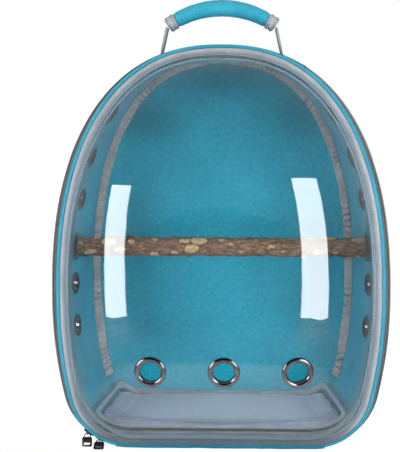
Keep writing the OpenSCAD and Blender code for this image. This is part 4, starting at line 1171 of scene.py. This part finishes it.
# weathered patches are greyer, scars show pale wood with a dark lip and pith
grey_share = remap(tree, noise_at(tree, where, 1 / (19 * MM), 2.0), 0.52, 0.68, 0.0, 0.3)
weathered = colour_mix(tree, grey_share, tone, "#786454")
scar = attribute(tree, "scar")
scarred = colour_mix(tree, scar, weathered, mottled(tree, where, "#d6b78d", "#a07c55", 2.5))
dark_lip = maths(tree, "SUBTRACT", scar, attribute(tree, "lip"))
shade = remap(tree, maths(tree, "SUBTRACT", dark_lip, attribute(tree, "pith")),
              -1.0, 0.0, 0.4, 1.0)
join_shader(tree, body, Base_Color=scaled(tree, scarred, shade),
            Roughness=remap(tree, fibre, 0.0, 1.0, 0.75, 0.95), Normal=bump(tree, fibre, 0.7, 0.5))

perch_low, perch_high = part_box("perch")
branch = run_tree(line_object("branch", [[((0, 0, 0), (0, 0, 1)), ((1, 0, 0), (0, 0, 1))]]),
                  branch_tree, half_length=(perch_high.x - perch_low.x) / 2, radius=9.8 * MM,
                  scar_gap=11 * MM, furrow=0.45 * MM, seed=7, finish=bark)
branch.data.transform(Matrix.Translation((0, PERCH_Y * MM, PERCH_Z * MM)))
face_outwards(branch)
branch.data.shade_smooth()
dress(branch, bark, "shell", "bark", "perch")
print("branch", len(branch.data.polygons), "faces")

# %% [markdown]
# ## The handle
# The grip is teal canvas over a soft core, gathered a little at each end where a stitched grey
# cuff closes it, and two webbing legs hold it to the shell.

# %% Grip and cuffs
HANDLE_Y, GRIP_R, GRIP_D, GRIP_HALF, CUFF_L = ZIP_Y + 50, 95, 17, 30, 10
HANDLE_RISE, HANDLE_W, GRIP_WIDE, GRIP_SIDES = 40, 126, 1.25, 28
ARC_Z = STAND_H + SHELL_H + HANDLE_RISE - GRIP_R
CUFF_TURN = math.degrees(CUFF_L / GRIP_R)
root_share = (1 - (HANDLE_W / (SHELL_W * taper(HANDLE_Y))) ** ARCH_POWER) ** (1 / ARCH_POWER)
ROOT_Z = STAND_H + WIDEST_Z + (SHELL_H - WIDEST_Z) * root_share


def grip_ring(turn, r, relief=0.0, run=0.0):
    """A ring round the grip, turn degrees from the top of its arc and wider than it is high."""
    t, row = math.radians(turn), []
    for b in circle(GRIP_SIDES):
        k = r + relief * noise.noise(Vector((run / 4, 2.2 * math.cos(b), 2.2 * math.sin(b))))
        q = GRIP_R + k * math.cos(b)
        row.append((q * math.sin(t), HANDLE_Y + GRIP_WIDE * k * math.sin(b),
                    ARC_Z + q * math.cos(t)))
    return row


def cuff_rows(side):
    rows = []
    for v in np.linspace(0, 1, 22):
        edge = 1 - 0.25 * max(abs(2 * v - 1) - 0.8, 0) / 0.2
        rows.append(grip_ring(side * (GRIP_HALF - 0.3 + v * (CUFF_TURN + 0.2)),
                              GRIP_D / 2 * 0.93 * edge + 0.3 * math.sin(20 * v),
                              relief=0.5, run=60 * v + 90 * side))
    return rows


def join(name, parts):
    """One piece from several meshes."""
    for o in bpy.context.selected_objects:
        o.select_set(False)
    for o in parts:
        o.select_set(True)
    bpy.context.view_layer.objects.active = parts[0]
    bpy.ops.object.join()
    parts[0].name = parts[0].data.name = name
    return parts[0]


rows = []
for v in np.linspace(-1, 1, 90):
    size = GRIP_D / 2 * (1 - 0.12 * v * v) * (1 - max(abs(v) - 0.93, 0) * 2.2)
    rows.append(grip_ring(v * (GRIP_HALF + 0.4), size, relief=0.25 + 0.55 * v ** 6, run=90 * v))
grip = grid("padded_grip", rows)
dress(grip, grip_cloth, "handle", "teal_canvas", "handle_grip")
cuffs = join("stitched_cuffs", [grid("cuff", cuff_rows(side)) for side in (-1, 1)])
dress(cuffs, grey_weave, "handle", "pale_binding", "handle_cuffs")
print("grip", len(grip.data.polygons), "faces")

# %% Legs, patches and their stitches
# corners of the box of stitches on a patch, in mm from the root of the leg
PATCH_BOX, PATCH_SKIN = [(0.6, -11.6), (22.6, -11.6), (22.6, 11.6), (0.6, 11.6)], 1.9
legs = softened("handle_webbing", "webbing_legs", bevel=0.6)
dress(legs, grey_weave, "handle", "grey_webbing", "handle_webbing")
patches = softened("handle_patches", "sewn_root_patches", bevel=0.6)
dress(patches, grey_weave, "shell", "grey_webbing", "handle_patches")
sewn = []
for side in (-1, 1):
    root = wall_place(side, ROOT_Z, HANDLE_Y)
    out = root.to_3x3() @ Vector((0, 0, 1))
    a, b, c, d = ((root @ Vector((*corner, PATCH_SKIN)), out) for corner in PATCH_BOX)
    sewn += [[a, b], [b, c], [c, d], [d, a], [a, c], [b, d]]
stitches("root_patch_stitches", sewn, thread_grey, "shell", spacing=2.9)
sewn = []
for turn in [side * (GRIP_HALF + k * CUFF_TURN) for side in (-1, 1) for k in (0.2, 0.8)]:
    ring = [Vector(q) for q in grip_ring(turn, GRIP_D / 2 * 0.95 + 0.3)]
    centre = sum(ring, Vector()) / len(ring)
    sewn.append([(q, (q - centre).normalized()) for q in ring + ring[:1]])
stitches("cuff_stitches", sewn, thread_grey, "handle", spacing=2.6)
print("handle done, its roots are", round(ROOT_Z), "mm up")

# %% [markdown]
# ## The mat and the back pads
# These are stuffed, so they are made by the padding helper from their own solids. The flat
# cloth, tape and webbing next to them are their solids with the edges rounded.

# %% Mat
mat = padded("floor_mat", "padded_floor_mat", voxel=4.5, pressure=2.5, cap=3.0)
dress(mat, mat_cloth, "mat", "slate_fleece", "floor_mat")
mat_edge = softened("mat_binding", "mat_edge_tape", bevel=0.5, levels=1)
dress(mat_edge, slate_tape, "mat", "grey_binding", "mat_binding")

# %% Back pads, yoke, tabs and lower webbing
pads = padded("back_pads", "ribbed_back_pads", voxel=5.0, pressure=3.0, cap=2.5)
dress(pads, foam_mesh, "shell", "foam_mesh", "back_pads")
for node, name, finish, slot, bevel in (
        ("strap_web_left", "strap_webbing_left", strap_weave, "webbing", 0.5),
        ("strap_web_right", "strap_webbing_right", strap_weave, "webbing", 0.5),
        ("strap_yoke", "sewn_strap_yoke", dark_cloth, "dark_teal_canvas", 1.0),
        ("strap_tabs", "sewn_corner_tabs", dark_cloth, "dark_teal_canvas", 0.9),
        ("strap_loops", "sewn_buckle_loops", strap_weave, "webbing", 0.5)):
    dress(softened(node, name, bevel), finish, "shell", slot, node)
print("pads done")

# %% [markdown]
# ## Shoulder straps
# A strap is a pad of spacer mesh on foam with tape folded over its edges and webbing sewn down
# its outer face. The remesh that suits the pads would eat its thin edges, so it is a section
# that travels along the strap's curve: out from the back, down, and narrower towards its end.

# %% Strap sections
STRAP_TOP, STRAP_END, STRAP_X0, STRAP_X1 = STAND_H + SHELL_H - 45, 118, 46, 100
STRAP_BOW, STRAP_SPREAD, STRAP_W, STRAP_T, YOKE_T = 36, 6, 56, 10, 3
BACK_FACE = BACK_Y + BACK_T + YOKE_T
STRAP_Y = BACK_FACE + STRAP_T / 2 + 0.3
# half the pad's thickness, half the face webbing's width, and its quilting and stitch lines
PAD_HALF, WEB_HALF, QUILT_X, SEAM_X = 4.2, 12.5, 13.4, 10.8


def strap_middle(t):
    bow = math.sin(math.pi * t)
    return Vector((STRAP_X0 + (STRAP_X1 - STRAP_X0) * t + STRAP_SPREAD * bow,
                   STRAP_Y + STRAP_BOW * bow, STRAP_TOP + (STRAP_END - STRAP_TOP) * t))


def strap_point(side, t, across, out):
    """A point of the strap and its outward direction: t along it, across and out in mm."""
    d = strap_middle(min(t + 0.02, 1)) - strap_middle(max(t - 0.02, 0))
    lean = math.atan2(d.y, -d.z) * min(1, 8 * min(t, 1 - t))
    way = Vector((0, math.cos(lean), math.sin(lean)))
    p = strap_middle(t) + Vector((across, 0, 0)) + way * out
    return (side * p.x, p.y, p.z), tuple(way)


def strap_half(t):
    return STRAP_W / 2 * (1 - 0.45 * (max(t - 0.55, 0) / 0.45) ** 2)


def strap_end(t):
    """The pad is pressed thin where it is sewn down at its ends."""
    return 0.42 + 0.58 * min(min(t, 1 - t) / 0.045, 1) ** 0.6


def strap_face(t):
    """How far the pad's face lies out from its middle, in mm."""
    return PAD_HALF * strap_end(t)


def strap_piece(name, side, *sections, steps=110):
    """Sections of (across, out) points carried down the strap, one mesh for each."""
    made = [grid(name, [[strap_point(side, t, u, q)[0] for u, q in section(t)]
                        for t in np.linspace(0, 1, steps)]) for section in sections]
    return join(name, made) if len(made) > 1 else made[0]


def pad_section(t):
    """A flattened round with a quilted line along each side of the webbing."""
    w, h = strap_half(t) - 1.2, strap_face(t)
    ring = []
    for a in circle(44):
        c, s = math.cos(a), math.sin(a)
        u = w * math.copysign(abs(c) ** 0.6, c)
        quilt = 1 - 0.28 * math.exp(-((abs(u) - QUILT_X) / 1.6) ** 2)
        uneven = 1 + 0.12 * noise.noise(Vector((t * 14, u / 16, 2 * s)))
        ring.append((u, h * s * quilt * uneven))
    return np.array(ring)


def edge_section(side):
    """The tape over the pad's edge at one side."""
    def section(t):
        w, k = strap_half(t), strap_end(t)
        ring = rounded([(w - 4.6, -3.1 * k), (w + 0.8, -1.9 * k), (w + 0.8, 1.9 * k),
                        (w - 4.6, 3.1 * k)], r=1.3, edge=99)
        return ring * (1 + 0.006 * math.sin(110 * t), 1) * (side, 1)
    return section


def face_section(t):
    h = strap_face(t)
    return box_section(-WEB_HALF, WEB_HALF, h - 1.0, h + 0.7, 0.6, edge=3.0)


print("a strap is", round(STRAP_TOP - STRAP_END), "mm high")

# %% Straps
stations = np.linspace(0.012, 0.988, 90)
for name, side in (("left", -1), ("right", 1)):
    strap = strap_piece("padded_strap_" + name, side, pad_section)
    dress(strap, foam_mesh, "shell", "foam_mesh", "shoulder_strap_" + name)
    strap_edges = strap_piece("strap_edge_tape_" + name, side, edge_section(1), edge_section(-1),
                              steps=150)
    dress(strap_edges, strap_weave, "shell", "webbing")
    face_web = strap_piece("strap_face_webbing_" + name, side, face_section)
    dress(face_web, strap_weave, "shell", "webbing")
    lines = [[strap_point(side, t, u, strap_face(t) + 0.72) for t in stations]
             for u in (-SEAM_X, SEAM_X)]
    lines += [[strap_point(side, t, k * (strap_half(t) - 3.4), 2.75 * strap_end(t) + 0.1)
               for t in stations] for k in (-1, 1)]
    for start, stop in ((0.02, 0.07), (0.93, 0.98)):
        a, b, c, d = (strap_point(side, t, u, strap_face(t) + 0.75)
                      for t, u in ((start, -8), (start, 8), (stop, 8), (stop, -8)))
        lines += [[a, b], [c, d], [a, c], [b, d]]
    stitches("strap_stitches_" + name, lines, thread_black, "shell", spacing=3.2)
print("straps", len(strap.data.polygons), "faces each")

# %% Stitches round the yoke and the corner tabs
TAB_X, TAB_Z = 112, 42


def sewn_ring(corners, x=0, z=0):
    """Straight seams round a flat piece on the back, from corners (x, z) about a place."""
    points = [((x + u, BACK_FACE + 0.05, z + v), (0, 1, 0)) for u, v in corners]
    return [[points[i], points[i - 1]] for i in range(len(points))]


lines = []
for inset in (2.6, 5.4):
    wide_low, wide_high = 78 - 1.4 * inset, 60 - 1.0 * inset
    low, high = STRAP_TOP - 16 + inset, STRAP_TOP + 20 - inset
    lines += sewn_ring([(-wide_low, low), (wide_low, low), (wide_high, high), (-wide_high, high)])
for side in (-1, 1):
    lines += sewn_ring([(-13, 21), (13, 21), (13, 1.2), (0, -11.2), (-13, 1.2)],
                       side * TAB_X, TAB_Z)
stitches("yoke_and_tab_stitches", lines, thread_teal, "shell", spacing=3.4)
print("straps done")

# %% [markdown]
# ## Hard parts
# Eyelets, washers, rods, nuts and buckles keep their solids, which already have the right
# shape, and get the metal or plastic that they are made of. The small sliders and pulls are
# copied with their edges rounded, because a rounded edge is what catches the light.

# %% Metal and plastic
for finish, nodes in (
        (gunmetal, ("side_eyelets_left", "side_eyelets_right", "side_washers_left",
                    "side_washers_right", "dome_eyelets", "dome_washers")),
        (steel, ("perch_rods", "perch_inner_washers", "perch_outer_washers", "perch_nuts")),
        (acetal, ("strap_buckles",)), (board_plastic, ("base_board",))):
    for node in nodes:
        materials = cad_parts[node].data.materials
        materials.clear()
        materials.append(finish)
for node, body in (("zip_slider_lower", "shell"), ("zip_slider_upper", "slider_upper"),
                   ("zip_pull_upper", "pull_upper"), ("zip_pull_lower", "pull_lower")):
    piece = softened(node, "enamelled_" + node, bevel=0.18, segments=2)
    dress(piece, enamel, body, "black_metal", node)
for shape in small_shapes:
    bpy.data.objects.remove(shape)

# %% [markdown]
# ## Light, floor and backdrop
# The photograph is lit by two tall narrow soft lamps, which show as white strips on the dome,
# and by a bright room. The floor and backdrop are pale, and are drawn white for the camera by
# Light Path, so that the lamps needn't be strong enough to bleach the cloth. The white paper
# ends a hand's length in front of the carrier, which shows as the level where the milky
# reflection in the dome begins.

# %% Floor
FLOOR_EDGE, WHITE = -0.0735, (1, 1, 1, 1)
floor_finish, tree = blank_finish("pale_floor_paper")
place = add(tree, "ShaderNodeSeparateXYZ", {0: object_place(tree)})
past_edge = remap(tree, place.outputs["Y"], -0.42, -0.38, 0.0, 1.0)
aside = maths(tree, "ABSOLUTE", place.outputs["X"])
past_side = remap(tree, aside, 0.2, 0.32, 1.0, 0.0)
# painted shadow: under the dome the paper is drawn darker, where the carrier's shadow falls
under_dome_shade = remap(tree, place.outputs["Y"], -0.2, -0.13, 1.0, 0.3)
on_paper = maths(tree, "MULTIPLY", maths(tree, "MULTIPLY", past_edge, past_side), under_dome_shade)
table = add(tree, "ShaderNodeBsdfDiffuse",
            {"Color": two_tone(tree, on_paper, "#858587", "#dcdcdc", 0.0, 1.0)})
paper = add(tree, "ShaderNodeBsdfDiffuse", Color=srgb("#dcdcdc"))
glow = add(tree, "ShaderNodeEmission", Color=WHITE, Strength=0.82)
both = add(tree, "ShaderNodeAddShader", {0: paper, 1: glow})
camera_ray = add(tree, "ShaderNodeLightPath").outputs["Is Camera Ray"]
mixed = add(tree, "ShaderNodeMixShader", {0: camera_ray, 1: table, 2: both})
add(tree, "ShaderNodeOutputMaterial", {"Surface": mixed})


def sheet_of(name, corners, finish):
    """A flat sheet for light or reflections, which isn't part of the carrier."""
    mesh = bpy.data.meshes.new(name)
    mesh.from_pydata(corners, [], [(0, 1, 2, 3)])
    mesh.materials.append(finish)
    sheet = new_object(name, mesh)
    sheet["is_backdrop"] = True
    return sheet


def floor_sheet(name, y_front, y_back):
    return sheet_of(name, [(-6, y_front, 0), (6, y_front, 0), (6, y_back, 0), (-6, y_back, 0)],
                    floor_finish)


# the carrier stands at the front edge of the floor that the camera sees, so that its open door
# hangs clear of it. In front of that, the paper is there only for light and reflections.
floor_sheet("floor", FLOOR_EDGE, 6)
front_paper = floor_sheet("front_paper", -6, FLOOR_EDGE)
front_paper.visible_camera = front_paper.visible_shadow = False
print("floor and front paper")

# %% World
world = bpy.data.worlds.new("bright_room")
bpy.context.scene.world = world
world.use_nodes = True
tree = world.node_tree
tree.nodes.clear()
ray = add(tree, "ShaderNodeLightPath")
mixed = add(tree, "ShaderNodeBackground", Color=(0.97, 0.985, 1, 1), Strength=0.64)
# the room looks dark in reflections, dimmer through the film, and white to the camera
for kind, colour, strength in (("Is Glossy Ray", (0.97, 0.985, 1, 1), 0.04),
                               ("Is Transmission Ray", (0.98, 0.99, 1, 1), 0.55),
                               ("Is Camera Ray", WHITE, 1.0)):
    other = add(tree, "ShaderNodeBackground", Color=colour, Strength=strength)
    mixed = add(tree, "ShaderNodeMixShader", {0: ray.outputs[kind], 1: mixed, 2: other})
add(tree, "ShaderNodeOutputWorld", {"Surface": mixed})
print("world", world.name)


# %% Lamps
def softbox(name, centre, faces, corners, strength):
    """A glowing cloth that faces a point. Its corners are given to the side and up from its
    centre, so that the dome's curve mirrors it as an upright strip."""
    centre = Vector(centre)
    way = (centre - Vector(faces)).normalized()
    side = Vector((0, 0, 1)).cross(way).normalized()
    up = way.cross(side)
    glow, tree = blank_finish(name + "_cloth")
    light = add(tree, "ShaderNodeEmission", Color=WHITE, Strength=strength)
    add(tree, "ShaderNodeOutputMaterial", {"Surface": light})
    made = sheet_of(name, [centre + side * u + up * v for u, v in corners], glow)
    made.visible_camera = made.visible_shadow = False


softbox("left_softbox", (-0.5479, -0.568, 0.2073), (-0.0932, -0.1767, 0.2177),
        [(-0.241, 0.235), (0.078, 0.204), (0.198, -0.194), (-0.095, -0.189)], 8.0)
softbox("right_softbox", (0.4361, -0.6645, 0.2121), (0.0829, -0.1796, 0.2206),
        [(-0.109, 0.207), (0.218, 0.264), (0.158, -0.196), (-0.16, -0.193)], 8.0)
# the front light is high and large, and is kept out of reflections so that the dome stays clear
lamp = bpy.data.lights.new("front_light", "AREA")
lamp.shape, lamp.size, lamp.size_y, lamp.energy = "RECTANGLE", 1.2, 1.0, 13.5
front_light = new_object("front_light", lamp)
front_light.location = (0.3, -1.6, 1.5)
front_light.rotation_mode = "QUATERNION"
aim = Vector((0, 0, 0.25)) - front_light.location
front_light.rotation_quaternion = aim.to_track_quat("-Z", "Y")
front_light.visible_glossy = front_light.visible_transmission = False
bpy.context.scene.view_settings.view_transform = "Standard"
print("front light", lamp.energy, "W")

# %% Sizes
low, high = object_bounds()
print("visual model", [round(v / MM) for v in high - low], "mm")
